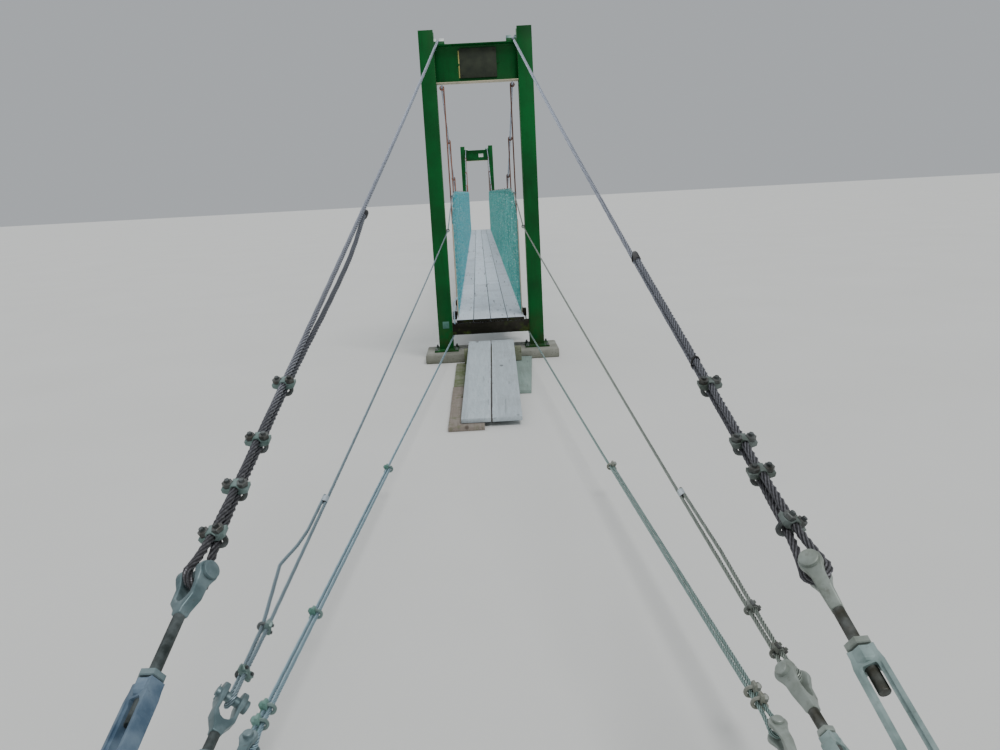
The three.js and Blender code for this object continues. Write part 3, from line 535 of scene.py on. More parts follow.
def plate(name, colour, edge, roughness, metallic):
    """Cast or painted plate with grain and uneven patina."""
    m = Finish(name)
    where = m.place()
    cloud = m.noise(where, 11, 4, 0.5)
    grain = m.noise(where, 240, 3, 0.6)
    base = m.blend(m.share(cloud, 0.35, 0.7), colour, edge)
    dulled = m.share(cloud, 0.3, 0.7, roughness, roughness + 0.2)
    return m.finish(base, dulled, grain + cloud, 0.35, 0.0006, metallic=metallic)


def black_tape(name):
    """Wrapped tape, slightly glossy."""
    m = Finish(name)
    turns = (m.split(m.place())[1] * 900.0).sine()
    return m.finish(srgb(26, 26, 28), 0.45, turns, 0.2, 0.0004)


def pale_floor(name):
    m = Finish(name)
    cloud = m.noise(m.place(), 0.6, 3)
    return m.finish(m.blend(cloud, srgb(214, 214, 210), srgb(222, 222, 219)), 0.9)


# Zinc finishes: colour, share of rust, metal shine.
ZINC = {
    "dark_clips": ((96, 102, 98), 0.35, 0.5),
    "clip_seat": ((100, 124, 118), 0.04, 0.4),
    "dusty_seat": ((126, 126, 112), 0.1, 0.3),
    "dusty_fittings": ((142, 150, 140), 0.08, 0.3),
    "dim_seat": ((78, 88, 80), 0.12, 0.3),
    "dusty_bolt": ((104, 106, 96), 0.15, 0.3),
    "mint_seat": ((88, 138, 124), 0.06, 0.3),
    "dark_nut": ((62, 60, 54), 0.3, 0.4),
    "left_thread": ((50, 58, 56), 0.1, 0.4),
    "right_thread": ((62, 60, 48), 0.2, 0.4),
    "left_body": ((92, 118, 142), 0.06, 0.5),
    "right_body": ((136, 158, 154), 0.06, 0.3),
    "dark_bolt": ((48, 50, 48), 0.2, 0.4),
    "saddle_white": ((226, 230, 226), 0.02, 0.1),
    "saddle_grey": ((112, 142, 138), 0.06, 0.3),
    "bright_sleeve": ((196, 206, 214), 0.0, 0.8),
}

# Plates and paint: colour, its other shade, roughness, metal shine.
PLATES = {
    "bronze": ((44, 50, 40), (62, 68, 54), 0.5, 0.3),
    "cream_steel": ((206, 190, 164), (176, 172, 150), 0.6, 0.0),
    "lit_edge_green": ((118, 160, 122), (84, 134, 96), 0.5, 0.0),
    "white_tie": ((196, 214, 226), (150, 176, 196), 0.5, 0.0),
    "white_enamel": ((226, 228, 224), (196, 200, 196), 0.35, 0.0),
    "yellow_edge": ((206, 200, 120), (170, 160, 90), 0.5, 0.0),
    "pale_teal": ((84, 132, 116), (62, 106, 94), 0.4, 0.0),
}


def rope_like(kind, colour, *wear):
    """A maker of the finish for one kind of cable. The numbers after the colour are the strength of the
    painted sky reflection high up, the length of the tail's painted shade and that shade's strength.
    """
    def make(name):
        return wire_rope(name, colour(), STAYS[kind]["radius"], STAYS[kind]["lay"], *wear)
    return make


FINISH_MAKERS = {
    "weathered_green": weathered_green,
    "cast_concrete": cast_concrete,
    "black_tape": black_tape,
    "pale_floor": pale_floor,
    "galvanised_fittings": lambda name: galvanised(name, tuple(colours().fittings), 0.12, 0.6),
    "rusty_rod": lambda name: rusty(name, tuple(colours().hanger), srgb(196, 150, 128)),
    "brown_rod": lambda name: rusty(
        name, mixed(tuple(colours().hanger), 0.6, srgb(54, 40, 30)), srgb(112, 84, 66)),
    # The left mesh is painted lighter and bluer as sunlit, the right one darker as in shade.
    "left_wire": lambda name: coated_wire(name, mixed(tuple(colours().mesh), 0.35, srgb(50, 160, 220))),
    "right_wire": lambda name: coated_wire(name, mixed(tuple(colours().mesh), 0.25, srgb(40, 130, 120))),
    # The main ropes get a painted sky reflection high up and painted shade over the tail: 3.55 m of it on the
    # left, 3.06 m on the right.
    "left_main_rope": rope_like("main", lambda: tuple(colours().rope), 0.9, 3.55),
    "right_main_rope": rope_like("main", lambda: tuple(colours().rope), 0.9, 3.06, 0.4),
    "left_hand_rope": rope_like("hand", lambda: srgb(168, 190, 200)),
    "right_hand_rope": rope_like("hand", lambda: srgb(172, 182, 172)),
    "left_deck_rope": rope_like("deck", lambda: tuple(colours().thin_rope)),
    "right_deck_rope": rope_like("deck", lambda: srgb(170, 196, 190)),
    "deck_timber": lambda name: timber(name, tuple(colours().deck), 0.6, board=DECK_BOARD, cracks=0.6),
    "ramp_timber": lambda name: timber(name, tuple(colours().ramp), 0.3, board=RAMP_BOARD, cracks=0.25),
    # Painted shade for the ramp boards' sides along the seam between them.
    "painted_seam_shade": lambda name: timber(name, srgb(122, 114, 108), 0.0, cracks=0.2),
    "brown_timber": lambda name: timber(name, srgb(136, 126, 116), 0.2, moss=0.3),
    "greened_timber": lambda name: timber(name, srgb(142, 162, 154), 0.2, cracks=0.3),
    "mossy_timber": lambda name: timber(name, tuple(colours().old), 0.2, moss=0.6, cracks=0.9),
    "tarred_timber": lambda name: timber(
        name, tuple(colours().dark), 0.0, (0, 0, math.pi / 2), 0.35, CROSS_BOARD, 0.8),
}


def finish_of(name):
    """The named finish, made when it is first asked for."""
    if name in bpy.data.materials:
        return bpy.data.materials[name]
    if name in ZINC:
        colour, rust_share, shine = ZINC[name]
        return galvanised(name, srgb(*colour), rust_share, shine)
    if name in PLATES:
        colour, edge, roughness, metallic = PLATES[name]
        return plate(name, srgb(*colour), srgb(*edge), roughness, metallic)
    return FINISH_MAKERS[name](name)


# Ways of modelling

def deselect():
    if bpy.context.object and bpy.context.object.mode != "OBJECT":
        bpy.ops.object.mode_set(mode="OBJECT")
    bpy.ops.object.select_all(action="DESELECT")


def take(*pieces):
    deselect()
    for piece in pieces:
        piece.select_set(True)
    bpy.context.view_layer.objects.active = pieces[0]
    return pieces[0]


def in_edit(piece):
    take(piece)
    bpy.ops.object.mode_set(mode="EDIT")
    bpy.ops.mesh.select_all(action="SELECT")
    return bmesh.from_edit_mesh(piece.data)


def out_of_edit(name, finish=None):
    bpy.ops.mesh.select_all(action="SELECT")
    bpy.ops.mesh.normals_make_consistent(inside=False)
    bpy.ops.object.mode_set(mode="OBJECT")
    piece = bpy.context.object
    piece.name = name
    if finish:
        piece.data.materials.append(finish_of(finish))
    return piece


def profile(name, outline, start, end, plane="XY", finish=None):
    """A flat outline in a plane, extruded square to it from start to end."""
    deselect()
    bpy.ops.mesh.primitive_circle_add(vertices=len(outline), fill_type="NGON")
    form = in_edit(bpy.context.object)
    spread = {
        "XY": lambda a, b: (a, b, start),
        "YZ": lambda a, b: (start, a, b),
        "XZ": lambda a, b: (a, start, b),
    }[plane]
    form.verts.ensure_lookup_table()
    for vertex, (a, b) in zip(form.verts, outline):
        vertex.co = spread(a, b)
    bmesh.update_edit_mesh(bpy.context.object.data)
    push = {"XY": (0, 0, end - start), "YZ": (end - start, 0, 0), "XZ": (0, end - start, 0)}[plane]
    bpy.ops.mesh.extrude_region_move(TRANSFORM_OT_translate={"value": push})
    return out_of_edit(name, finish)


def turned(name, stations, sides, finish=None, turn=None):
    """A round piece along Z, from rings of (height, radius), closed at both ends."""
    deselect()
    low, first = stations[0]
    place = (0, 0, low)
    bpy.ops.mesh.primitive_circle_add(vertices=sides, radius=first, fill_type="NGON", location=place)
    bpy.ops.object.transform_apply(location=True, rotation=True, scale=True)
    form = in_edit(bpy.context.object)
    for (height, radius), (below, last) in zip(stations[1:], stations):
        bpy.ops.mesh.extrude_region_move(TRANSFORM_OT_translate={"value": (0, 0, height - below)})
        for vertex in form.verts:
            if vertex.select:
                vertex.co.x *= radius / last
                vertex.co.y *= radius / last
    bmesh.update_edit_mesh(bpy.context.object.data)
    piece = out_of_edit(name, finish)
    if turn is not None:
        piece.data.transform(turn)
    return piece


def block(name, low, high, finish=None):
    """A box between two corners, the start of a sawn or cast piece."""
    (x, y, z), (far_x, far_y, top) = low, high
    return profile(name, [(x, y), (far_x, y), (far_x, far_y), (x, far_y)], z, top, "XY", finish)


def modify(piece, kind, **settings):
    take(piece)
    modifier = piece.modifiers.new("step", kind)
    for name, value in settings.items():
        setattr(modifier, name, value)
    bpy.ops.object.modifier_apply(modifier="step")
    return piece


def soften(piece, width, segments=2, angle=35):
    """Rounded edges, and smooth shading over them."""
    limit = math.radians(angle)
    modify(piece, "BEVEL", width=width, segments=segments, limit_method="ANGLE", angle_limit=limit)
    return smooth(piece)


def coat_faces(piece, finish, chosen):
    """A second finish on the faces for which the test holds."""
    piece.data.materials.append(finish_of(finish))
    last = len(piece.data.materials) - 1
    for face in piece.data.polygons:
        if chosen(face.center, face.normal):
            face.material_index = last
    return piece


def smooth(piece, angle=40):
    take(piece)
    bpy.ops.object.shade_smooth_by_angle(angle=math.radians(angle))
    return piece


def carve(piece, tool, operation="DIFFERENCE"):
    modify(piece, "BOOLEAN", object=tool, operation=operation, solver="EXACT")
    bpy.data.objects.remove(tool)
    return piece


def merged(name, pieces):
    """Several pieces joined into one, which keeps their finishes."""
    take(*pieces)
    if len(pieces) > 1:
        bpy.ops.object.join()
    whole = bpy.context.object
    whole.name = name
    return whole


def disturb(piece, name, spread, **settings):
    """Moves the piece's points a little, by clouds of one size that stand still in the frame."""
    clouds = bpy.data.textures.get(name) or bpy.data.textures.new(name, "CLOUDS")
    clouds.noise_scale = spread
    return modify(piece, "DISPLACE", texture=clouds, texture_coords="GLOBAL", **settings)


def repeat(piece, count, step, **settings):
    """The piece in a row, one step from copy to copy."""
    return modify(piece, "ARRAY", count=count, use_relative_offset=False, use_constant_offset=True,
                  constant_offset_displace=step, **settings)


def copies(name, source, matrices):
    """One piece repeated at several places; the source itself is used up."""
    made = []
    for matrix in matrices:
        copy = source.copy()
        copy.data = source.data.copy()
        copy.data.transform(matrix)
        bpy.context.collection.objects.link(copy)
        made.append(copy)
    bpy.data.objects.remove(source)
    return merged(name, made)


def seat(piece, slot, *nodes):
    """The finished piece rides on the bridge and stands for its nodes, which it hides. Its slot is not used.
    """
    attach(piece, "root")
    if nodes:
        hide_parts(*nodes)
    return piece


def poly_curve(name, points, cyclic=False, **settings):
    """A curve through points, with settings of its own."""
    curve = bpy.data.curves.new(name, "CURVE")
    for setting, value in {"dimensions": "3D", **settings}.items():
        setattr(curve, setting, value)
    line = curve.splines.new("POLY")
    line.points.add(len(points) - 1)
    for spot, point in zip(line.points, points):
        spot.co = (*point, 1)
    line.use_cyclic_u = cyclic
    piece = bpy.data.objects.new(name, curve)
    bpy.context.collection.objects.link(piece)
    return piece


def cross_section(reaches):
    """A closed outline for a rope or wire, from the distance of each corner to its middle."""
    corners = []
    for i, reach in enumerate(reaches):
        angle = 2 * math.pi * i / len(reaches)
        corners.append((reach * math.cos(angle), reach * math.sin(angle), 0))
    return poly_curve("section", corners, cyclic=True, dimensions="2D")


def as_mesh(piece):
    take(piece)
    bpy.ops.object.convert(target="MESH")
    return bpy.context.object


def wire(name, points, radius, finish, rounds, cyclic=False):
    """A round wire along points."""
    line = poly_curve(name, points, cyclic, bevel_depth=radius, bevel_resolution=rounds,
                      use_fill_caps=not cyclic)
    piece = as_mesh(line)
    piece.data.materials.append(finish_of(finish))
    return smooth(piece, 50)


def arc(centre, radius, start, end, steps):
    """Points on an arc, in degrees from start to end."""
    found = []
    for i in range(steps + 1):
        angle = math.radians(start + (end - start) * i / steps)
        found.append((centre[0] + radius * math.cos(angle), centre[1] + radius * math.sin(angle)))
    return found


def shift(x=0.0, y=0.0, z=0.0):
    return Matrix.Translation((x, y, z))


def turn(degrees, axis):
    return Matrix.Rotation(math.radians(degrees), 4, axis)


# Cables

def main_height(y):
    return MAIN_LOW + MAIN_SAG * (y / CURVE_END) ** 2


def stay_starts():
    back = math.radians(SADDLE["back"])
    return {
        "main": (SADDLE["x"], SADDLE["bend"] * math.sin(back),
                 SADDLE["crest"] - SADDLE["bend"] * (1 - math.cos(back))),
        "hand": (SLEEVE["x"], SLEEVE["y"] - TOWER_Y, SLEEVE["z"]),
        "deck": (DECK_CABLE_TOWER_X, PLANK["end"] - TOWER_Y, DECK_CABLE_TOWER_Z),
    }


class StayLine:
    """One stay. In its frames X runs down to the anchor and Y goes from the loaded rope to the tail."""

    def __init__(self, kind, end, side):
        self.stay = stay = STAYS[kind]
        x, reach, z = stay_starts()[kind]
        near_left, near_right, far = stay["splay"]
        drift = far if end == "far" else (near_left if side == "left" else near_right)

        def at(run):
            return Vector((SIDES[side] * (x + drift * (run - reach)), ENDS[end] * (TOWER_Y + run),
                           z - stay["slope"] * (run - reach)))

        self.side = side
        self.pin = at(stay["run"][side])
        self.lower_pin = at(ANCHOR_PIN_Y - TOWER_Y)
        self.length = (at(reach) - self.pin).length
        self.total = (self.lower_pin - self.pin).length
        self.along = (self.lower_pin - self.pin).normalized()
        up = Vector((0, 0, 1))
        across = up.cross(self.along).normalized()
        self.outward = across * math.copysign(1, across.x) * SIDES[side]
        self.lift = (up - self.along * up.dot(self.along)).normalized()
        self.clips = stay["clips"][side]
        self.tail_end = stay["tail_end"][side]
        jaw = math.radians(stay["jaw_turn"][side])
        self.lower_turn = math.degrees(math.atan2(-math.cos(jaw), ENDS[end] * SIDES[side] * math.sin(jaw)))

    def frame_at(self, offset):
        """The frame on the stay's middle line, that far above the pin. It hangs with the sag and twists from
        the jaw's turn to that of the second clip."""
        jaw, clipped = self.stay["jaw_turn"][self.side], self.stay["turned_back"][self.side]
        angle = math.radians(jaw + (clipped - jaw) * min(offset / self.clips[1], 1.0))
        stack = self.outward * math.cos(angle) + self.lift * math.sin(angle)
        share = offset / self.length
        place = self.pin - self.along * offset
        place.z -= 4 * self.stay["sag"] * share * (1 - share)
        axes = Matrix((self.along, stack, self.along.cross(stack))).transposed()
        return Matrix.Translation(place) @ axes.to_4x4()

    def bow(self, offset):
        """How far the tail stands off the loaded rope, from knot to knot."""
        knots = self.stay["bow"][self.side]
        for (start, low), (end, high) in zip(knots, knots[1:]):
            if start <= offset <= end:
                return low + (high - low) * (offset - start) / (end - start)
        return 0.0


def stay_points(kind, end, side):
    """The rope from its turned-back tail, round the upper pin and up to the tower."""
    line = StayLine(kind, end, side)
    stay = line.stay
    half = stay["radius"] + GAP
    loop = stay["turnbuckle"]["pin"] + stay["radius"] + GAP
    closed = line.clips[0] + stay["clip"]["seat"] / 2
    step = stay["lay"] / ROPE_STEPS["stay"]
    aim = math.radians(stay["bow_aim"])

    def apart(offset):
        return half + (loop - half) * max(0.0, 1 - offset / closed) ** 2

    def offsets(length):
        count = max(2, round((length - closed) / step))
        beside = LOOP_STEPS["beside"]
        near_pin = [closed * i / beside for i in range(1, beside + 1)]
        return near_pin + [closed + (length - closed) * i / count for i in range(1, count + 1)]

    points = []
    for offset in reversed(offsets(line.tail_end)):
        bow = line.bow(offset)
        tail = Vector((0, apart(offset) + bow * math.cos(aim), bow * math.sin(aim)))
        points.append(line.frame_at(offset) @ tail)
    for x, y in arc((0, 0), loop, 90, -90, LOOP_STEPS["round"]):
        points.append(line.frame_at(0) @ Vector((x, y, 0)))
    for offset in offsets(line.length * STAY_TOP):
        joined = min(1.0, max(0.0, (line.length - offset) / (line.length - line.tail_end)))
        points.append(line.frame_at(offset) @ Vector((0, -apart(offset) * joined, 0)))
    return points


def spread_between(start, end, step):
    count = max(1, round((end - start).length / step))
    return [start.lerp(end, i / count) for i in range(count)]


def main_middle(side):
    over = []
    for i in range(SADDLE_STEPS + 1):
        angle = math.radians(-SADDLE["back"] + (SADDLE["back"] + SADDLE["span"]) * i / SADDLE_STEPS)
        over.append((TOWER_Y - SADDLE["bend"] * math.sin(angle),
                     SADDLE["crest"] - SADDLE["bend"] * (1 - math.cos(angle))))
    sign = SIDES[side]
    near = [Vector((sign * SADDLE["x"], -y, z)) for y, z in over]
    far = [Vector((sign * SADDLE["x"], y, z)) for y, z in reversed(over)]
    outer = HANGER_PLACES[-1]
    span = []
    count = round((far[0].y - near[-1].y) / (STAYS["main"]["lay"] / ROPE_STEPS["main"]))
    for i in range(1, count):
        y = near[-1].y + (far[0].y - near[-1].y) * i / count
        share = min(1.0, (CURVE_END - abs(y)) / (CURVE_END - outer))
        x = SADDLE["x"] + (MAIN_SPAN_X - SADDLE["x"]) * share
        span.append(Vector((sign * x, y, main_height(y))))
    return near + span + far


def through(corners, step):
    points = []
    for start, end in zip(corners, corners[1:]):
        points += spread_between(start, end, step)
    return points + [corners[-1]]


def hand_middle(side):
    sign = SIDES[side]
    corners = [Vector((sign * SLEEVE["x"], -SLEEVE["y"], SLEEVE["z"]))]
    for i, y in enumerate(HANGER_PLACES):
        outer = i in (0, len(HANGER_PLACES) - 1)
        corners.append(Vector((sign * HAND_SPAN_X, y, FIRST_HAND_HEIGHT if outer else HAND_HEIGHT)))
    corners.append(Vector((sign * SLEEVE["x"], SLEEVE["y"], SLEEVE["z"])))
    return through(corners, STAYS["hand"]["lay"] / ROPE_STEPS["hand"])


def deck_middle(side):
    sign = SIDES[side]
    inner = TOWER_Y - COLUMN["depth"] / 2 - COLUMN_CLEARANCE
    half = [
        Vector((sign * DECK_CABLE_TOWER_X, PLANK["end"], DECK_CABLE_TOWER_Z)),
        Vector((sign * DECK_CABLE_TOWER_X, inner, DECK_CABLE_TOWER_Z)),
        Vector((sign * DECK_CABLE_SPAN_X, HANGER_PLACES[-1], DECK_CABLE_SPAN_Z)),
    ]
    near = [Vector((point.x, -point.y, point.z)) for point in half]
    return through(near + list(reversed(half)), STAYS["deck"]["lay"] / ROPE_STEPS["deck"])


MIDDLES = {"main": main_middle, "hand": hand_middle, "deck": deck_middle}


def laid_rope(name, points, radius, lay):
    """A stranded rope along points, its strands wound once round in each lay. Its finish has its name."""
    section = cross_section([radius * STRAND_GROOVE, radius] * STRANDS)
    line = poly_curve(name, points, bevel_mode="OBJECT", bevel_object=section, use_fill_caps=True)
    run = 0.0
    last = points[0]
    for spot, point in zip(line.data.splines[0].points, points):
        run += (point - last).length
        last = point
        spot.tilt = 2 * math.pi * run / lay
    piece = as_mesh(line)
    bpy.data.objects.remove(section)
    for corner in piece.data.uv_layers["UVMap"].data:
        corner.uv.x *= run
    piece.data.materials.append(finish_of(name))
    return smooth(piece, 75)


def cable_points(kind, side):
    near = stay_points(kind, "near", side)
    far = stay_points(kind, "far", side)
    return near + MIDDLES[kind](side) + list(reversed(far))


# Length of the cap over a tail's end, its girth as a share of the rope's, and its finish.
CAPS = {
    "left_main": (0.070, 1.45, "black_tape"), "right_main": (0.070, 1.15, "black_tape"),
    "left_deck": (0.012, 1.06, "dark_clips"), "right_deck": (0.012, 1.06, "dark_clips"),
}

# The two seizings of the right main tail: the lower one's place, the other's distance from the tail's end,
# half their width, the radius of their wire, and their turns.
SEIZING = {"low": 1.016, "from_end": 0.020, "half": 0.005, "wire": 0.003, "turns": 2, "steps": 12}

# The hand cables' sleeve: half its length, and the width of the ring at its mouth.
PRESSED_SLEEVE = {"half": 0.020, "mouth": 0.006}


class BRIDGE_OT_cables(bpy.types.Operator):
    """Lays the six stranded cables from anchor to anchor, with taped and sleeved ends"""

    bl_idname = "footbridge.cables"
    bl_label = "Cables"

    def execute(self, context):
        for kind, stay in STAYS.items():
            for side in SIDES:
                name = f"{side}_{kind}_rope"
                pieces = [laid_rope(name, cable_points(kind, side), stay["radius"], stay["lay"])]
                pieces += [self.tail_end(kind, end, side) for end in ENDS]
                seat(merged(name, pieces), "wire_rope", f"{side}_{kind}_cable")
        return {"FINISHED"}

    def tail_end(self, kind, end, side):
        """A cap over the cut end, or the bright sleeve that holds both parts of a hand cable."""
        line = StayLine(kind, end, side)
        radius = line.stay["radius"]
        half = radius + GAP
        if kind == "hand":
            return self.sleeve(line, half)
        pieces = [self.cap(line, half, radius, *CAPS[f"{side}_{kind}"])]
        if kind == "main" and side == "right":
            for offset in (SEIZING["low"], line.tail_end - SEIZING["from_end"]):
                pieces.append(self.seizing(line, half, offset))
        return merged("tail", pieces)

    def cap(self, line, half, radius, length, girth, finish):
        """A round cap over the tail's end, drawn in at its mouth."""
        wide = radius * girth
        stations = [
            (-length, radius * 1.02), (-length * 0.9, wide * 0.94), (-length * 0.2, wide),
            (0.0, wide * 0.86), (length * 0.06, wide * 0.4),
        ]
        shape = turned("cap", stations, 14, finish, turn(-90, "Y"))
        shape.data.transform(line.frame_at(line.tail_end) @ shift(y=half + wide - radius))
        return smooth(shape, 50)

    def sleeve(self, line, half):
        """The pressed sleeve round both parts, with a dark ring at its mouth."""
        wide = half * 0.98
        long = PRESSED_SLEEVE["half"]
        ring = long + PRESSED_SLEEVE["mouth"]
        across = turn(90, "Y")
        stations = [(-long, wide * 0.9), (-long * 0.85, wide), (long * 0.85, wide), (long, wide * 0.9)]
        metal = turned("sleeve", stations, 16, "bright_sleeve", across)
        mouth = turned("mouth", [(long, wide * 0.96), (ring, wide * 0.96)], 16, "black_tape", across)
        pair = merged("sleeve", [metal, mouth])
        pair.data.transform(line.frame_at(line.tail_end - ring) @ Matrix.Diagonal((1, 1.95, 1, 1)))
        return smooth(pair, 50)

    def seizing(self, line, half, offset):
        """Two turns of dark wire bound round both parts."""
        steps = SEIZING["turns"] * SEIZING["steps"]
        points = []
        for i in range(steps + 1):
            angle = 2 * math.pi * i / SEIZING["steps"]
            x = -SEIZING["half"] + 2 * SEIZING["half"] * i / steps
            spot = Vector((x, 2.05 * half * math.cos(angle), 1.12 * half * math.sin(angle)))
            points.append(line.frame_at(offset) @ spot)
        return wire("seizing", points, SEIZING["wire"], "black_tape", 1)


# Fittings

def nut(radius, height, finish):
    """A hexagonal nut on the XY plane, with its corners taken off."""
    stations = [(0, radius * 0.9), (height * 0.12, radius), (height * 0.88, radius), (height, radius * 0.9)]
    return smooth(turned("nut", stations, 6, finish), 20)


def stud(radius, length, point, finish):
    """A bolt's end that stands up from the XY plane, with a blunt point."""
    stations = [(0, radius), (length, radius), (length + point, radius - 0.002)]
    return smooth(turned("stud", stations, 12, finish))


def mirrored(outline):
    """An outline on one side of the first axis, with its mirror image on the other."""
    return outline + [(a, -b) for a, b in reversed(outline)]


# Finishes of a clip's seat, bow and nuts.
CLIP_FINISHES = {
    "left_main": ("clip_seat", "dark_bolt", "dark_nut"),
    "right_main": ("dim_seat", "dark_bolt", "dark_nut"),
    "left_hand": ("clip_seat", "dark_bolt", "clip_seat"),
    "right_hand": ("dusty_bolt", "dusty_bolt", "dark_nut"),
    "left_deck": ("mint_seat", "clip_seat", "mint_seat"),
    "right_deck": ("dusty_seat", "dusty_seat", "dusty_bolt"),
}


def clip_model(radius, clip, finishes):
    """A wire rope clip across X, with its seat and nuts on the +Y side and its bow on the other."""
    seat_finish, bow_finish, nut_finish = finishes
    bolt = clip["bolt"]
    half = radius + GAP
    outer = 2 * half
    leg = radius + bolt * 1.05
    wide = clip["width"] / 2
    top = outer + clip["nut"]
    legs = [(leg, -half * 0.9), (leg, top)]
    bow = [(-leg, top), (-leg, -half * 0.9)] + arc((0, -half), leg, 180, 360, 8) + legs
    pieces = [wire("bow", [(0, y, z) for z, y in bow], bolt * 0.92, bow_finish, 1)]
    wing, arch = outer * 0.66, outer + bolt * 0.45
    rising = [
        (-half * 0.3, leg * 0.9), (half * 0.25, wide * 0.96), (wing, wide),
        (wing, radius * 1.15), (arch, radius * 0.7),
    ]
    body = profile("seat", mirrored(rising), -clip["seat"] / 2, clip["seat"] / 2, "YZ", seat_finish)
    for middle in (half, -half):
        stations = [(-clip["seat"], radius * 0.97), (clip["seat"], radius * 0.97)]
        groove = turned("groove", stations, 16, None, turn(90, "Y"))
        groove.data.transform(shift(y=middle))
        body = carve(body, groove)
    pieces.append(soften(body, bolt * 0.35))
    for sign in (-1, 1):
        piece = nut(bolt * 2.0, bolt * 1.8, nut_finish)
        piece.data.transform(shift(y=wing, z=sign * leg) @ turn(-90, "X") @ turn(12 * sign, "Z"))
        pieces.append(piece)
    return merged("clip", pieces)


class BRIDGE_OT_clips(bpy.types.Operator):
    """Clamps the doubled ropes with wire rope clips, seat and nuts on one side, bow on the other"""

    bl_idname = "footbridge.clips"
    bl_label = "Rope clips"

    def execute(self, context):
        for kind, stay in STAYS.items():
            for end, side in CORNERS:
                line = StayLine(kind, end, side)
                flip = turn(0 if stay["seat_on_tail"][side] else 180, "X")
                places = [line.frame_at(offset) @ flip for offset in line.clips]
                model = clip_model(stay["radius"], stay["clip"], CLIP_FINISHES[f"{side}_{kind}"])
                seat(copies(f"{end}_{side}_{kind}_clips", model, places), "galvanised_steel")
        return {"FINISHED"}


def threaded(name, start, end, radius, pitch, finish):
    """A threaded rod along X: one turn of the ridge, repeated."""
    ridge = radius * 0.93
    stations = [(0, ridge), (pitch * 0.5, radius), (pitch, ridge)]
    ring = turned(name, stations, 14, finish, turn(90, "Y"))
    ring.data.transform(shift(x=start))
    form = in_edit(ring)
    bpy.ops.mesh.select_all(action="DESELECT")
    for face in form.faces:
        face.select = len(face.verts) > 4
    bpy.ops.mesh.delete(type="FACE")
    out_of_edit(name)
    count = max(1, round((end - start) / pitch))
    repeat(ring, count, (pitch, 0, 0), use_merge_vertices=True, merge_threshold=pitch * 0.05)
    in_edit(ring)
    bpy.ops.mesh.select_all(action="DESELECT")
    bpy.ops.mesh.select_non_manifold()
    bpy.ops.mesh.edge_face_add()
    return smooth(out_of_edit(name), 60)


def jaw_piece(size, finish):
    """A forged jaw round the origin with two round eyes, opening along -X, and its pin along Z."""
    ear, thickness, crotch, shank = (size[key] for key in ("ear", "ear_thickness", "crotch", "rod"))
    inside = size["throat"] / 2
    outside = inside + thickness
    neck = crotch + 0.016
    tip = neck + 0.012
    waist = inside + thickness * 0.72
    bulge = outside * 1.02
    opening = [
        (-ear, inside), (ear * 0.7, inside), (crotch - 0.030, inside * 1.05),
        (crotch - 0.016, inside * 0.55), (crotch - 0.012, 0),
    ]
    back = [
        (tip, shank), (neck - 0.004, shank * 1.15), (crotch - 0.018, bulge * 0.86),
        (ear * 1.25, waist), (ear * 0.6, outside), (-ear, outside),
    ]
    closing = [(a, -b) for a, b in reversed(opening[:-1])]
    outline = opening + closing + [(a, -b) for a, b in reversed(back)] + back
    arms = profile("arms", outline, -ear, ear, "XZ", finish)
    cheek = (ear * 1.3, ear * 0.62)
    eye = arc((0, 0), ear, 55, 305, 14) + [(cheek[0], -cheek[1]), (tip, -shank), (tip, shank), cheek]
    eyes = profile("eyes", eye, -outside * 1.1, outside * 1.1)
    arms = carve(arms, eyes, "INTERSECT")
    soften(arms, thickness * 0.22, 3, 30)
    pin = size["pin"]
    head = outside + 0.012
    stations = [
        (-outside - 0.008, pin * 0.9), (-outside - 0.006, pin), (outside, pin),
        (outside, pin * 1.38), (head - 0.002, pin * 1.38), (head, pin * 1.2),
    ]
    rivet = turned("pin", stations, 20, finish)
    z = -outside - 0.004
    split = [(-pin * 1.9, 0.0, z), (0, 0, z), (pin * 1.5, 0, z), (pin * 1.9, pin * 0.5, z)]
    cotter = wire("cotter", split, pin * 0.14, finish, 1)
    return merged("jaw", [arms, smooth(rivet, 35), cotter])


def open_body(size, start, end, finish):
    """Two ridged bars between two hexagonal sockets, parted by a square slot."""
    half, bar, collar = size["half"], size["bar"], size["collar"]
    socket = size["nut"] * 0.96

    def outlined(name, corners, deep, finish=None):
        """A form with the same corners at all four quarters."""
        below = corners + [(start + end - x, z) for x, z in reversed(corners)]
        return profile(name, mirrored(below), -deep, deep, "XZ", finish)

    flank = [(start, -socket), (start + collar * 0.45, -socket), (start + collar, -half)]
    body = outlined("body", flank, bar * 1.15, finish)
    for low, high in ((start, start + collar * 0.85), (end - collar * 0.85, end)):
        stations = [(low, socket * 0.94), (low + 0.004, socket), (high - 0.006, socket), (high, socket * 0.8)]
        barrel = turned("barrel", stations, 6, None, turn(90, "Y"))
        body = carve(body, barrel, "UNION")
    slot_half = half - bar * 1.1
    mouth = [(start + collar, -slot_half * 0.85), (start + collar + 0.004, -slot_half)]
    body = carve(body, outlined("slot", mouth, 2 * bar))
    for sign in (-1, 1):
        reach = sorted((sign * slot_half * 0.2, sign * (slot_half + bar * 0.5)))
        for flat in (-1, 1):
            deep, shallow = flat * bar * 0.86, flat * bar * 1.3
            wedge = [
                (start + collar * 0.9, shallow), (start + collar * 1.3, deep),
                (end - collar * 1.3, deep), (end - collar * 0.9, shallow),
            ]
            body = carve(body, profile("tool", wedge, *reach))
    return soften(body, bar * 0.35, 3, 25)


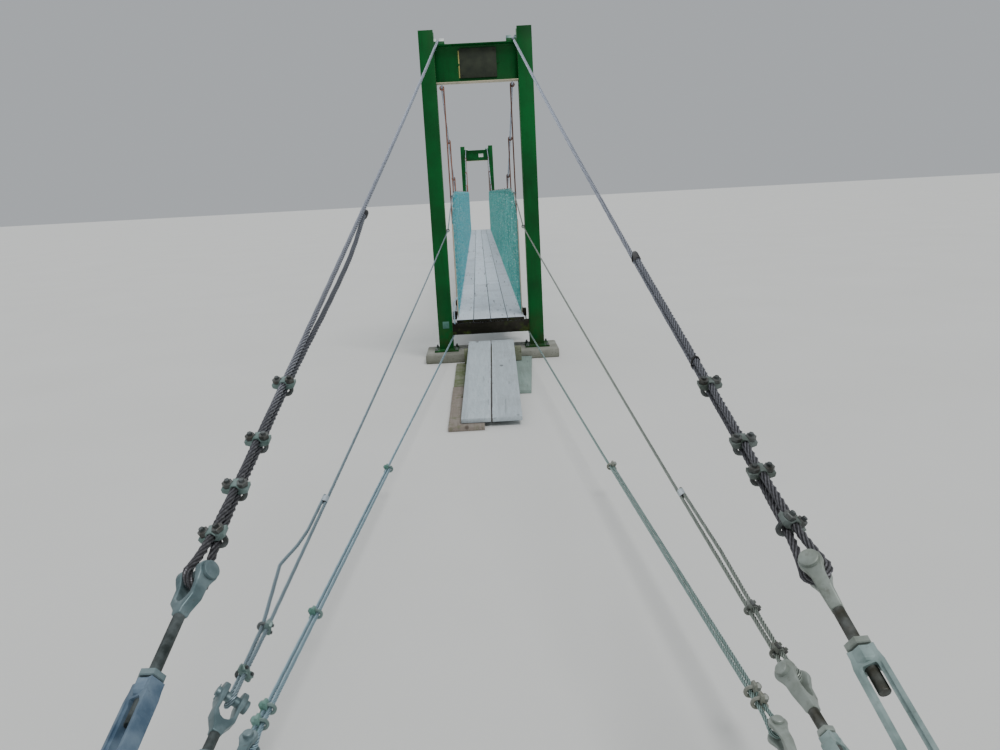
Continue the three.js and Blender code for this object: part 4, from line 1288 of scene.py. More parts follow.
def turnbuckle_piece(name, line, finish):
    """Two jaws, two threaded rods, a lock nut and the open body between them."""
    size = line.stay["turnbuckle"]
    total = line.total
    nut_at = size["nut_at"] + line.stay["gear_shift"][line.side]
    start = nut_at + size["nut_height"] / 2 + 0.006
    end = start + size["body"]
    spin = turn(line.stay["body_turn"][line.side], "X")
    body = open_body(size, start, end, f"{line.side}_body")
    body.data.transform(spin)
    radius, pitch = size["rod"] * 0.97, size["rod"] * 0.24
    inner = size["collar"] + size["rod_shows"]
    neck = size["crotch"] + 0.020
    thread = f"{line.side}_thread"
    lock = nut(size["nut"], size["nut_height"], finish)
    lock.data.transform(spin @ shift(x=nut_at - size["nut_height"] / 2) @ turn(90, "Y"))
    pieces = [
        body,
        threaded("upper_rod", neck, start + inner, radius, pitch, thread),
        threaded("lower_rod", end - inner, total - neck, radius, pitch, thread),
        lock,
        jaw_piece(size, finish),
        jaw_piece(size, finish),
    ]
    pieces[-1].data.transform(shift(x=total) @ turn(line.lower_turn, "X") @ turn(180, "Z"))
    whole = merged(name, pieces)
    whole.data.transform(line.frame_at(0))
    return whole


class BRIDGE_OT_turnbuckles(bpy.types.Operator):
    """Puts an open-body turnbuckle with forged jaws between each cable and its anchor"""

    bl_idname = "footbridge.turnbuckles"
    bl_label = "Turnbuckles"

    def execute(self, context):
        for end, side in CORNERS:
            finish = "galvanised_fittings" if side == "left" else "dusty_fittings"
            for kind in STAYS:
                name = f"{end}_{side}_{kind}_turnbuckle"
                seat(turnbuckle_piece(name, StayLine(kind, end, side), finish), "galvanised_steel")
        return {"FINISHED"}


class BRIDGE_OT_anchors(bpy.types.Operator):
    """Casts the anchor blocks and bolts the eared plates to them"""

    bl_idname = "footbridge.anchors"
    bl_label = "Anchors"

    def execute(self, context):
        for end, side in CORNERS:
            seat(self.anchor_plate(end, side), "galvanised_steel", f"{end}_{side}_turnbuckles")
            node = f"{end}_{side}_anchor_block"
            low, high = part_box(node)
            cast = block(f"{end}_{side}_anchor_concrete", low, high, "cast_concrete")
            seat(soften(cast, 0.028, 3), "concrete", node)
        return {"FINISHED"}

    def anchor_plate(self, end, side):
        sign = ENDS[end]
        face = sign * ANCHOR_PLATE["y"]
        back = sign * (ANCHOR_PLATE["y"] + ANCHOR_PLATE["thickness"])
        x0, x1 = sorted(SIDES[side] * x for x in ANCHOR_PLATE["x"])
        z0, z1 = ANCHOR_PLATE["z"]
        front, rear = sorted((face, back))
        finish = "galvanised_fittings"
        pieces = [soften(block("plate", (x0, front, z0), (x1, rear, z1), finish), 0.002)]
        for kind in STAYS:
            line = StayLine(kind, end, side)
            ear, half = line.stay["turnbuckle"]["ear"], line.stay["turnbuckle"]["lug"]
            x, y, z = line.lower_pin
            outline = [(face, z - 2 * ear)]
            for degrees in range(0, 181, 20):
                angle = math.radians(degrees)
                outline.append((y - sign * ear * math.sin(angle), z - ear * math.cos(angle)))
            outline.append((face, z + 2 * ear))
            pieces.append(soften(profile("lug", outline, x - half, x + half, "YZ", finish), 0.002))
        inset = ANCHOR_PLATE["bolt_inset"]
        for x in (x0 + inset, x1 - inset):
            for z in (z0 + inset, z1 - inset):
                pair = [nut(0.022, 0.018, "dark_clips"), stud(0.012, 0.030, 0.003, "dark_clips")]
                bolt = merged("bolt", pair)
                bolt.data.transform(shift(x, face, z) @ turn(90 * sign, "X"))
                pieces.append(bolt)
        return merged(f"{end}_{side}_anchor_plate", pieces)


# Towers

def rolled_section(size):
    """A rolled section with its web along the second axis and rounded roots."""
    half, deep, web = size["flange"] / 2, size["depth"] / 2, size["web"]
    inner = deep - size["flange_thickness"]
    toe = size["flange_thickness"] * 0.35
    fillet = 0.012
    corner = [(half, deep), (half, inner + toe), (half - toe, inner)]
    root = [(web / 2 + fillet - a, inner - fillet + b) for a, b in arc((0, 0), fillet, 90, 0, 3)]
    half_outline = mirrored(corner + root)
    return half_outline + [(-a, b) for a, b in reversed(half_outline)]


class BRIDGE_OT_towers(bpy.types.Operator):
    """Raises both portals: rolled columns, crossbeam, base plates, bolts, welds and guide sleeves"""

    bl_idname = "footbridge.towers"
    bl_label = "Towers"

    def execute(self, context):
        for end in ENDS:
            for side in SIDES:
                seat(self.column(end, side), "green_paint", f"{end}_{side}_column")
            seat(self.crossbeam(end), "green_paint", f"{end}_crossbeam")
            low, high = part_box(f"{end}_footing")
            base = block(f"{end}_tower_base", low, high, "cast_concrete")
            seat(soften(base, 0.015, 3), "concrete", f"{end}_footing")
        return {"FINISHED"}

    def column(self, end, side):
        x, y = SIDES[side] * COLUMN_X, ENDS[end] * TOWER_Y
        foot = FOOTING_TOP + BASE["thickness"]
        outline = [(a + x, b + y) for a, b in rolled_section(COLUMN)]
        post = profile("post", outline, foot, COLUMN["top"], "XY", "weathered_green")
        post = soften(post, sizes().steel_round, 2, 50)
        reach = COLUMN["flange"] / 2 - sizes().steel_round
        between_flanges = COLUMN["depth"] / 2 - 0.005

        def lit_flange_edges(spot, normal):
            """True of the flanges' edges and of their inner faces on the side of the deck, which get a pale
            green as painted light on those lit edges.
            """
            inward = (x - spot.x) * SIDES[side]
            if abs(normal.x) > 0.6:
                return inward > reach
            return abs(spot.y - y) < between_flanges and inward > 0.02

        # Painted light: the flanges' edges and inner faces by the deck are painted pale green.
        coat_faces(post, "lit_edge_green", lit_flange_edges)
        half = BASE["side"] / 2
        base = block("base", (x - half, y - half, FOOTING_TOP), (x + half, y + half, foot), "weathered_green")
        pieces = [post, soften(base, 0.002), self.weld(x, y, foot)]
        inset = half - BASE["bolt_inset"]
        for dx in (-inset, inset):
            for dy in (-inset, inset):
                pieces.append(self.base_bolt(shift(x + dx, y + dy, foot)))
        pieces += self.guide(end, side)
        return merged(f"{end}_{side}_tower_column", pieces)

    def base_bolt(self, place):
        """A bolt's end with its nut on a washer."""
        bolt = nut(0.015, 0.014, "dark_clips")
        point = stud(0.009, 0.026, 0.002, "dark_clips")
        washer = smooth(turned("washer", [(0, 0.018), (0.002, 0.018)], 16, "dark_clips"))
        for piece in (bolt, point):
            piece.data.transform(shift(z=0.002))
        whole = merged("bolt", [bolt, point, washer])
        whole.data.transform(place)
        return whole

    def weld(self, x, y, foot):
        """The fillet weld round the column's foot."""
        half, deep = COLUMN["flange"] / 2 + BASE["weld"], COLUMN["depth"] / 2 + BASE["weld"]
        outline = [(x - half, y - deep), (x + half, y - deep), (x + half, y + deep), (x - half, y + deep)]
        bead = profile("weld", outline, foot, foot + 0.010, "XY", "weathered_green")
        form = in_edit(bead)
        for vertex in form.verts:
            if vertex.co.z > foot + 0.005:
                vertex.co.x += math.copysign(0.005, x - vertex.co.x)
                vertex.co.y += math.copysign(0.005, y - vertex.co.y)
        bmesh.update_edit_mesh(bead.data)
        return out_of_edit("weld")

    def guide(self, end, side):
        """The short pipe that guides the hand cable, on its strap."""
        sign = SIDES[side]
        x, y, z = sign * SLEEVE["x"], ENDS[end] * SLEEVE["y"], SLEEVE["z"]
        half = SLEEVE["half"]
        outer, bevel = SLEEVE["outer"], 0.001
        stations = [
            (-half, outer - bevel), (-half + bevel, outer), (half - bevel, outer), (half, outer - bevel),
        ]
        pipe = turned("pipe", stations, 24, "dark_clips")
        hole = turned("hole", [(-2 * half, SLEEVE["bore"]), (2 * half, SLEEVE["bore"])], 24)
        pipe = smooth(carve(pipe, hole), 40)
        pipe.data.transform(shift(x, y, z) @ turn(90, "X"))
        edge = sign * (PORTAL_HALF - COLUMN["flange"] + 0.003)
        x0, x1 = sorted((x + sign * SLEEVE["bore"] * 1.2, edge))
        strap = block("strap", (x0, y - half, z - 0.008), (x1, y + half, z + 0.008), "dark_clips")
        return [pipe, soften(strap, 0.0015)]

    def crossbeam(self, end):
        y = ENDS[end] * TOWER_Y
        middle = BEAM["top"] - BEAM["depth"] / 2
        outline = [(a + y, b + middle) for a, b in rolled_section(BEAM)]
        half = PORTAL_HALF - COLUMN["flange"] - GAP
        beam = profile("beam", outline, -half, half, "YZ", "weathered_green")
        beam = soften(beam, sizes().steel_round, 2, 50)
        beam.name = f"{end}_tower_crossbeam"
        bottom = BEAM["top"] - BEAM["depth"]
        edge = bottom + BEAM["flange_thickness"] * 0.9
        rim = BEAM["flange"] * 0.45

        def lit_flange_underside(spot, normal):
            """True of the lower flange's underside and edges, which get a cream finish as painted light
            bounced up onto them.
            """
            return spot.z < edge and normal.z < 0.5 and (normal.z < -0.5 or abs(spot.y - y) > rim)

        # Painted bounced light: the lower flange's underside and edges take a cream finish.
        return coat_faces(beam, "cream_steel", lit_flange_underside)


class BRIDGE_OT_saddles(bpy.types.Operator):
    """Sets the cable saddles, each on its packer, on the crossbeams"""

    bl_idname = "footbridge.saddles"
    bl_label = "Saddles"

    def execute(self, context):
        for end, side in CORNERS:
            piece = self.saddle("saddle_white" if side == "left" else "saddle_grey")
            piece.data.transform(shift(y=ENDS[end] * TOWER_Y) @ turn(180 if side == "left" else 0, "Z"))
            piece.name = f"{end}_{side}_cable_saddle"
            seat(piece, "saddle_metal", f"{end}_{side}_saddle")
        return {"FINISHED"}

    def saddle(self, finish):
        """A grooved block with sloping ends and rounded shoulders on a painted packer."""
        top, half, short = BEAM["top"], SADDLE["half"], SADDLE["cheek_top_half"]
        x0, x1 = SADDLE["base"]
        seam, peak = top + SADDLE["packer"], top + SADDLE["cheek_top"]
        edge = half + (short - half) * SADDLE["packer"] / SADDLE["cheek_top"]
        foot = self.both_ways([(half, top), (half, top + 0.008), (edge, seam)])
        packer = profile("packer", foot, x0, x1, "YZ", "weathered_green")
        packer = soften(carve(packer, self.channel()), 0.0015)
        round_off = 0.014
        shoulder = [(edge, seam)]
        for y, z in arc((0, 0), round_off, 25, 90, 5):
            shoulder.append((short - round_off + y, peak - round_off + z))
        crown = profile("crown", self.both_ways(shoulder), x0, x1, "YZ", finish)
        crown = soften(carve(crown, self.channel()), 0.004, 3)
        return merged("saddle", [packer, crown])

    def both_ways(self, outline):
        return outline + [(-y, z) for y, z in reversed(outline)]

    def channel(self):
        """The room for the main cable, with its curved floor."""
        inner = STAYS["main"]["radius"] + SADDLE["cheek_gap"]
        centre = SADDLE["crest"] - SADDLE["bend"]
        groove = SADDLE["bend"] - STAYS["main"]["radius"] - GAP
        over, long = BEAM["top"] + SADDLE["cheek_top"] + 0.02, SADDLE["half"] * 1.1
        steps = 12
        places = [long - 2 * long * i / steps for i in range(steps + 1)]
        floor = [(y, centre + math.sqrt(groove ** 2 - y ** 2)) for y in places]
        outline = [(long, over)] + floor + [(-long, over)]
        return profile("channel", outline, SADDLE["x"] - inner, SADDLE["x"] + inner, "YZ")


class BRIDGE_OT_plates(bpy.types.Operator):
    """Fixes the bare plates to the crossbeams and the small tag to the near left column"""

    bl_idname = "footbridge.plates"
    bl_label = "Plates"

    def execute(self, context):
        low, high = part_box("near_plaque")
        seat(self.framed("near_bronze_plate", low, high, 0.014, "bronze"), "bronze_plate", "near_plaque")
        foot, head = (low.x - 0.012, high.y - 0.006, low.z + 0.004), (low.x, high.y, high.z - 0.020)
        pieces = [soften(block("near_plate_edge", foot, head, "yellow_edge"), 0.001)]
        for x, share in ((low.x - 0.014, 0.46), (high.x + 0.010, 0.50)):
            bolt = nut(0.013, 0.010, "weathered_green")
            bolt.data.transform(shift(x, high.y, low.z + (high.z - low.z) * share) @ turn(90, "X"))
            pieces.append(bolt)
        seat(merged("near_plate_edge", pieces), "bronze_plate")
        low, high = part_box("far_notice")
        seat(self.framed("far_enamel_plate", low, high, 0.006, "white_enamel"), "white_plate", "far_notice")
        face = -TOWER_Y - COLUMN["depth"] / 2
        (x0, x1), (z0, z1), thickness = TAG["x"], TAG["z"], TAG["thickness"]
        tag = block("near_left_column_tag", (x0, face - thickness, z0), (x1, face, z1), "pale_teal")
        seat(soften(tag, 0.0018), "white_plate")
        return {"FINISHED"}

    def framed(self, name, low, high, rim, finish):
        """A cast plate with a raised rim and a rounded bolt head in each corner."""
        body = block(name, low, high, finish)
        form = in_edit(body)
        for face in form.faces:
            face.select = face.normal.y < -0.9
        form.select_flush(True)
        bmesh.update_edit_mesh(body.data)
        bpy.ops.mesh.inset(thickness=rim)
        depth = 0.003
        bpy.ops.mesh.extrude_region_move(TRANSFORM_OT_translate={"value": (0, depth, 0)})
        out_of_edit(name)
        pieces = [soften(body, 0.0012)]
        inset = rim * 1.8
        stations = [(0, rim * 0.5), (0.002, rim * 0.48), (0.003, rim * 0.3)]
        for x in (low.x + inset, high.x - inset):
            for z in (low.z + inset, high.z - inset):
                head = turned("head", stations, 16, finish, turn(90, "X"))
                head.data.transform(shift(x, low.y + depth, z))
                pieces.append(smooth(head, 60))
        return merged(name, pieces)


# Span

def sawn(name, low, high, along, cuts, finish, wear=0.0012):
    """A sawn timber with worn edges: a gridded top, extruded down, rounded and slightly uneven."""
    size = [b - a for a, b in zip(low, high)]
    counts = [3, 3]
    counts[0 if along == "X" else 1] = cuts
    deselect()
    bpy.ops.mesh.primitive_grid_add(x_subdivisions=counts[0], y_subdivisions=counts[1], size=1)
    piece = bpy.context.object
    piece.data.transform(shift((low[0] + high[0]) / 2, (low[1] + high[1]) / 2, high[2])
                         @ Matrix.Diagonal((size[0], size[1], 1, 1)))
    in_edit(piece)
    bpy.ops.mesh.extrude_region_move(TRANSFORM_OT_translate={"value": (0, 0, -size[2])})
    out_of_edit(name, finish)
    limit = math.radians(60)
    modify(piece, "BEVEL", width=sizes().plank_round, segments=2, limit_method="ANGLE", angle_limit=limit)
    disturb(piece, "wear", 0.09, strength=wear, mid_level=1.0)
    return smooth(piece, 45)


# Each plank's two nails over a floor beam, from the middle of both.
NAIL_SPOTS = ((-0.055, 0.012), (0.055, -0.012))


class BRIDGE_OT_deck(bpy.types.Operator):
    """Nails the deck planks over the floor beams and sets the timber at each end"""

    bl_idname = "footbridge.deck"
    bl_label = "Deck"

    def execute(self, context):
        for row in range(PLANK["rows"]):
            seat(self.plank_row(row), "grey_timber", f"deck_planks_row_{row + 1}")
        for end in ENDS:
            low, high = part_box(f"{end}_end_timber")
            beam = sawn(f"{end}_sill", low, high, "X", 24, "tarred_timber", 0.004)
            seat(beam, "dark_timber", f"{end}_end_timber")
        return {"FINISHED"}

    def joints(self):
        """Where the planks butt, from end to end."""
        length = sizes().plank_length
        middle = [-2 * length + length / 2 + i * length for i in range(4)]
        return [-PLANK["end"]] + [y for y in middle if abs(y) < PLANK["end"] - 1] + [PLANK["end"]]

    def gap_shade_strip(self, x):
        """A dark strip that fills the gap beside a row: painted shade in the gap."""
        half, end = PLANK["gap"] / 2, PLANK["end"] - 0.002
        low, high = (x - half, -end, DECK_UNDER + 0.002), (x + half, end, DECK_TOP - 0.007)
        return block("dirt", low, high, "tarred_timber")

    def plank_row(self, row):
        pitch = PLANK["width"] + PLANK["gap"]
        x = (row - (PLANK["rows"] - 1) / 2) * pitch
        half = PLANK["width"] / 2
        end_y = PLANK["end"] - sizes().plank_round
        places = self.joints()
        pieces = []
        for start, end in zip(places, places[1:]):
            first = start if start == places[0] else start + PLANK["joint"] / 2
            last = end if end == places[-1] else end - PLANK["joint"] / 2
            low, high = (x - half, first, DECK_UNDER), (x + half, last, DECK_TOP)
            plank = sawn("plank", low, high, "Y", 40, "deck_timber")
            # The planks' end faces take the dark timber finish, so they show dark.
            pieces.append(coat_faces(
                plank, "tarred_timber", lambda spot, normal: abs(spot.y) > end_y and abs(normal.y) > 0.6))
        radius = sizes().nail_head
        stations = [(-0.002, radius), (0.0005, radius), (0.0012, radius * 0.7)]
        nail = smooth(turned("nail", stations, 10, "rusty_rod"), 50)
        spots = []
        for y in HANGER_PLACES:
            for dx, dy in NAIL_SPOTS:
                spots.append(shift(x + dx, y + dy, DECK_TOP - 0.0010))
        pieces.append(copies("nails", nail, spots))
        # Each row after the first gets a dark strip in the gap on its left: painted shade in the gap.
        if row:
            pieces.append(self.gap_shade_strip(x - pitch / 2))
        return merged(f"deck_row_{row + 1}", pieces)


# The clip that holds a rod to the main cable, described as the ropes' own clips are.
HANGER_CLAMP = {"seat": 0.030, "width": 0.062, "nut": 0.010, "bolt": 0.006}


class BRIDGE_OT_cross_frames(bpy.types.Operator):
    """Hangs the floor beams on their rods from the main cables"""

    bl_idname = "footbridge.cross_frames"
    bl_label = "Cross frames"

    def execute(self, context):
        for i, y in enumerate(HANGER_PLACES):
            name = f"{i + 1:02d}"
            half = FLOOR_BEAM["side"] / 2
            low = (-FLOOR_BEAM["half"], y - half, DECK_UNDER - FLOOR_BEAM["side"])
            high = (FLOOR_BEAM["half"], y + half, DECK_UNDER)
            beam = sawn(f"floor_beam_{name}", low, high, "X", 14, "tarred_timber", 0.002)
            seat(beam, "dark_timber", f"cross_frame_{name}")
            rods = [self.hanger(side, y) for side in SIDES]
            seat(merged(f"hangers_{name}", rods), "galvanised_steel")
        return {"FINISHED"}

    def hanger(self, side, y):
        """A rod through the floor beam, with its washer and nut. Where the main cable is high the rod ends in
        a ring round it, and elsewhere it is clamped to it and goes on to the hand cable."""
        sign = SIDES[side]
        x, z = sign * HANGER_X, main_height(y)
        under = DECK_UNDER - FLOOR_BEAM["side"]
        low = under - 0.030
        high = z > HAND_HEIGHT
        if high:
            ring = MAIN_SPAN_X - HANGER_X
            loop = [(sign * (MAIN_SPAN_X + a), y, z + b) for a, b in arc((0, 0), ring, 180, -150, 18)]
            points = [(x, y, low), (x, y, 1.0), (x, y, z)] + loop
        else:
            points = [(x, y, low), (x, y, z), (x, y, HAND_HEIGHT + 0.020)]
        pieces = [wire("rod", points, HANGER_RADIUS, "rusty_rod" if side == "left" else "brown_rod", 2)]
        if not high:
            pieces.append(self.clamp(sign, y, z))
        washer = smooth(turned("washer", [(0, 0.022), (0.004, 0.022)], 4, "dark_clips"), 20)
        washer.data.transform(shift(x, y, under - 0.004) @ turn(45, "Z"))
        end_nut = nut(0.014, 0.012, "dark_clips")
        end_nut.data.transform(shift(x, y, under - 0.016))
        return merged("hanger", pieces + [self.lacing(sign, y), washer, end_nut])

    def clamp(self, sign, y, z):
        """A small clip that holds the rod to the main cable."""
        grip = clip_model(STAYS["main"]["radius"] * 0.8, HANGER_CLAMP, CLIP_FINISHES["left_main"])
        slope = math.degrees(math.atan(2 * MAIN_SAG * y / CURVE_END ** 2))
        middle = sign * (MAIN_SPAN_X + HANGER_X) / 2
        facing = turn(180 if sign > 0 else 0, "X")
        grip.data.transform(shift(middle, y, z) @ turn(slope, "X") @ turn(90, "Z") @ facing)
        return grip

    def lacing(self, sign, y):
        """Wire wound round the rod and the hand cable."""
        z = FIRST_HAND_HEIGHT if abs(y) > HANGER_PLACES[-1] - 0.1 else HAND_HEIGHT
        middle = sign * (HANGER_X + HAND_SPAN_X) / 2
        wide = (HANGER_X - HAND_SPAN_X) / 2 + HANGER_RADIUS + 0.002
        turns_round, steps, half = 4, 10, 0.008
        points = []
        for i in range(turns_round * steps + 1):
            angle = 2 * math.pi * i / steps
            rise = 2 * half * i / (turns_round * steps) - half
            points.append((middle + wide * math.cos(angle), y + 0.0105 * math.sin(angle), z + rise))
        return wire("lacing", points, LACING_RADIUS, "galvanised_fittings", 0)


def hand_height_at(y):
    """Height of the hand cable over a point of the deck."""
    outer, inner = HANGER_PLACES[-1], HANGER_PLACES[-2]
    distance = abs(y)
    if distance > outer:
        share = (distance - outer) / (SLEEVE["y"] - outer)
        return FIRST_HAND_HEIGHT + (SLEEVE["z"] - FIRST_HAND_HEIGHT) * share
    if distance > inner:
        return HAND_HEIGHT + (FIRST_HAND_HEIGHT - HAND_HEIGHT) * (distance - inner) / (outer - inner)
    return HAND_HEIGHT


# The twisted tie at a fence's end: its top on the end bar, then places along the bridge with their heights.
END_TIE = {
    "x": 0.391, "corners": ((10.60, 0.620), (10.697, 0.560), (10.697, 0.400)), "top": 0.660,
    "apart": 0.0042, "wire": 0.0040, "step": 0.008,
}
DECK_TIES = {"spacing": 0.34, "wire": 0.0018, "wide": 0.014, "high": 0.012, "above": 0.004}


class BRIDGE_OT_fences(bpy.types.Operator):
    """Weaves the coated mesh on both sides and laces it to the hand cable and the deck"""

    bl_idname = "footbridge.fences"
    bl_label = "Mesh sides"

    def execute(self, context):
        for side in SIDES:
            pieces = [self.mesh(side), self.top_lacing(side), *self.end_bars(side), self.deck_ties(side)]
            pieces.append(self.end_tie(side))
            seat(merged(f"{side}_side_mesh", pieces), "coated_mesh", f"{side}_fence")
        return {"FINISHED"}

    def mesh(self, side):
        """Zigzag wires, each hooked into the next, cut to the slope of the hand cable at both ends."""
        x = SIDES[side] * FENCE_X
        step = sizes().mesh_size / math.sqrt(2)
        radius = sizes().mesh_wire
        bottom = DECK_TOP - 3 * step
        count = math.ceil((HAND_HEIGHT - bottom) / step) + 3
        pairs = int((2 * FENCE_END - 0.03) / (2 * step))
        wires = []
        for lead in (0, 1):
            points = []
            for i in range(count + 1):
                bent = (i + lead) % 2
                depth = radius if bent else -radius
                points.append((x + depth, (lead + bent - pairs) * step, bottom + i * step))
            wires.append(self.three_sided("picket", points, radius))
        picket = merged("picket", wires)
        repeat(picket, pairs, (0, 2 * step, 0))
        self.slacken(picket)
        self.cut_off(picket, (0, 0, DECK_TOP + FENCE_INSET), (0, 0, -1))
        for sign in (-1, 1):
            self.cut_off(picket, (0, sign * (FENCE_END - FENCE_INSET), 0), (0, sign, 0))
        self.cut_off(picket, (0, 0, HAND_HEIGHT - FENCE_DROP), (0, 0, 1))
        for sign in (-1, 1):
            self.trim(picket, sign, HANGER_PLACES[-2], HANGER_PLACES[-1])
            self.trim(picket, sign, HANGER_PLACES[-1], FENCE_END)
        picket.data.materials.append(finish_of(f"{side}_wire"))
        return smooth(picket, 80)

    def slacken(self, piece):
        """Uneven tension: the meshes wander up and down and to and fro."""
        for direction, spread, strength in (("Z", 0.42, 0.150), ("Y", 0.30, 0.080), ("Z", 0.10, 0.030)):
            disturb(piece, "slack", spread, direction=direction, strength=strength, mid_level=0.5)

    def cut_off(self, piece, place, normal):
        """Cuts away what stands beyond a plane."""
        in_edit(piece)
        bpy.ops.mesh.bisect(plane_co=place, plane_no=normal, clear_outer=True)
        bpy.ops.object.mode_set(mode="OBJECT")

    def trim(self, piece, sign, inner, outer):
        """Cuts away what stands above the hand cable between two places."""
        low, high = hand_height_at(inner + 1e-6), hand_height_at(outer)
        slope = (high - low) / (outer - inner)
        normal = Vector((0, -sign * slope, 1)).normalized()
        self.cut_off(piece, (0, sign * inner, low - FENCE_DROP), normal)

    def three_sided(self, name, points, radius):
        """A fine wire with three faces round it."""
        section = cross_section([radius * 1.2] * 3)
        piece = as_mesh(poly_curve(name, points, bevel_mode="OBJECT", bevel_object=section))
        bpy.data.objects.remove(section)
        return piece

    def top_lacing(self, side):
        """The spiral of wire that ties the mesh to the hand cable."""
        middle = SIDES[side] * (HAND_SPAN_X + FENCE_X) / 2
        wide = (HAND_SPAN_X - FENCE_X) / 2 + STAYS["hand"]["radius"] + 0.001
        pitch, steps, low, high = 0.110, 6, 0.008, 0.016
        count = int(2 * HANGER_PLACES[-1] / pitch) * steps
        points = []
        for i in range(count + 1):
            y = -HANGER_PLACES[-1] + i * pitch / steps
            angle = 2 * math.pi * i / steps
            z = hand_height_at(y) - low + high * math.sin(angle)
            points.append((middle + wide * math.cos(angle), y, z))
        return wire("top_lacing", points, LACING_RADIUS, f"{side}_wire", 0)

    def end_bars(self, side):
        """A pale tension bar at each end of the mesh."""
        x = SIDES[side] * FENCE_X
        wide, deep = 0.005, 0.006
        bottom, top = DECK_TOP + FENCE_INSET, hand_height_at(FENCE_END) - FENCE_DROP
        bars = []
        for sign in (-1, 1):
            y = sign * (FENCE_END - deep)
            low, high = (x - wide, y - deep, bottom), (x + wide, y + deep, top)
            bars.append(soften(block("end_bar", low, high, "cream_steel"), 0.001))
        return bars

    def end_tie(self, side):
        """Two wires twisted together, from the end bar down to the end timber's face."""
        sign = SIDES[side]
        corners = [Vector((sign * FENCE_X, sign * FENCE_END, END_TIE["top"]))]
        corners += [Vector((sign * END_TIE["x"], sign * y, z)) for y, z in END_TIE["corners"]]
        middle = through(corners, END_TIE["step"])
        apart = END_TIE["apart"]
        strands = []
        for phase in (0, math.pi):
            points = []
            for i, spot in enumerate(middle):
                angle = 2 * math.pi * i / 6 + phase
                points.append(spot + Vector((apart * math.cos(angle), apart * math.sin(angle), 0)))
            strands.append(wire("strand", points, END_TIE["wire"], "white_tie", 1))
        return merged("end_tie", strands)

    def deck_ties(self, side):
        """Wire ties and staples that hold the mesh's foot to the deck's edge."""
        x, z = SIDES[side] * FENCE_X, DECK_TOP + DECK_TIES["above"]
        ring = []
        for i in range(10):
            angle = math.pi * i / 5
            ring.append((x + DECK_TIES["wide"] * math.cos(angle), 0, z + DECK_TIES["high"] * math.sin(angle)))
        tie = wire("tie", ring, DECK_TIES["wire"], f"{side}_wire", 0, cyclic=True)
        spacing = DECK_TIES["spacing"]
        count = int(FENCE_END / spacing)
        return copies("ties", tie, [shift(y=i * spacing) for i in range(-count, count + 1)])


class BRIDGE_OT_ramps(bpy.types.Operator):
    """Lays the two ramp boards at each end on their bed of old boards"""

    bl_idname = "footbridge.ramps"
    bl_label = "Ramps"

    def execute(self, context):
        for end in ENDS:
            half_turn = turn(180 if end == "far" else 0, "Z")
            for side in SIDES:
                board = self.ramp_board(f"{end}_{side}_ramp_plank", SIDES[side])
                board.data.transform(half_turn)
                seat(board, "grey_timber", f"{end}_{side}_ramp_board")
            bed = self.bed(f"{end}_ramp_old_boards")
            bed.data.transform(half_turn)
            seat(bed, "old_timber", f"{end}_ramp_bed")
        return {"FINISHED"}

    def ramp_board(self, name, sign):
        (foot_y, foot_z), (head_y, head_z) = RAMP["foot"], RAMP["head"]
        run, rise = foot_y - head_y, head_z - foot_z
        length = math.hypot(run, rise)
        slope = math.degrees(math.atan2(rise, run))
        x0, x1 = sorted((sign * RAMP["gap"] / 2, sign * (RAMP["gap"] / 2 + RAMP["width"])))
        board = sawn(name, (x0, 0, -RAMP["thickness"]), (x1, length, 0), "Y", 30, "ramp_timber", 0.002)
        # The boards' sides at the seam take a darker finish: painted shade in the seam.
        coat_faces(board, "painted_seam_shade", lambda spot, normal: abs(spot.x) < 0.02 and abs(normal.x) > 0.35)
        board.data.transform(shift(RAMP["shift"], -foot_y + length / 2, foot_z) @ turn(-RAMP["skew"], "Z")
                             @ shift(y=-length / 2) @ turn(slope, "X"))
        return board

    def bed(self, name):
        x0, x1 = BED_LEFT["x"]
        near, far = BED_LEFT["y"]
        split, half_gap = BED_SPLIT["y"], BED_SPLIT["gap"] / 2
        top = BED_THICKNESS
        low, high = (x0, -near, 0), (x1, split - half_gap, top)
        front = sawn("old", low, high, "Y", 24, "brown_timber", 0.004)
        low, high = (x0 + BED_SPLIT["step"], split + half_gap, 0), (x1, -far, top)
        rear = sawn("old", low, high, "Y", 20, "mossy_timber", 0.004)
        x0, x1 = BED_RIGHT["x"]
        near, far = BED_RIGHT["y"]
        wide, long = (x1 - x0) / 2, (near - far) / 2
        right = sawn("old", (-wide, -long, 0), (wide, long, top), "Y", 24, "greened_timber", 0.004)
        right.data.transform(shift((x0 + x1) / 2, -(near + far) / 2) @ turn(-BED_RIGHT["skew"], "Z"))
        y, half = -BEARER["y"], BEARER["half_width"]
        (foot_y, foot_z), (head_y, head_z) = RAMP["foot"], RAMP["head"]
        rise = (head_z - foot_z) / (foot_y - head_y)
        under = foot_z + (foot_y - BEARER["y"] - half) * rise - RAMP["thickness"] * math.hypot(1, rise)
        low, high = (-BEARER["half"], y - half, top), (BEARER["half"], y + half, under - GAP)
        bearer = sawn("bearer", low, high, "X", 12, "mossy_timber", 0.003)
        return merged(name, [front, rear, right, bearer])


# Stage

PHOTO_WIDTH = 1000
FOCAL_PIXELS = 804.2
CAMERA_PLACE = (-0.0706, -19.345, 1.778)
CAMERA_YAW, CAMERA_PITCH, CAMERA_ROLL = 0.924, 12.859, -3.077
FLOOR_SIZE = 300

# Name, strength, angular size and direction of each light, in degrees.
LIGHTS = (
    ("key", 1.7, 24, (28, 18, 0)),
    ("fill", 0.6, 60, (-50, -24, 0)),
)
SKY_COLOUR = (0.80, 0.84, 0.88, 1)
SKY_STRENGTH = 0.55


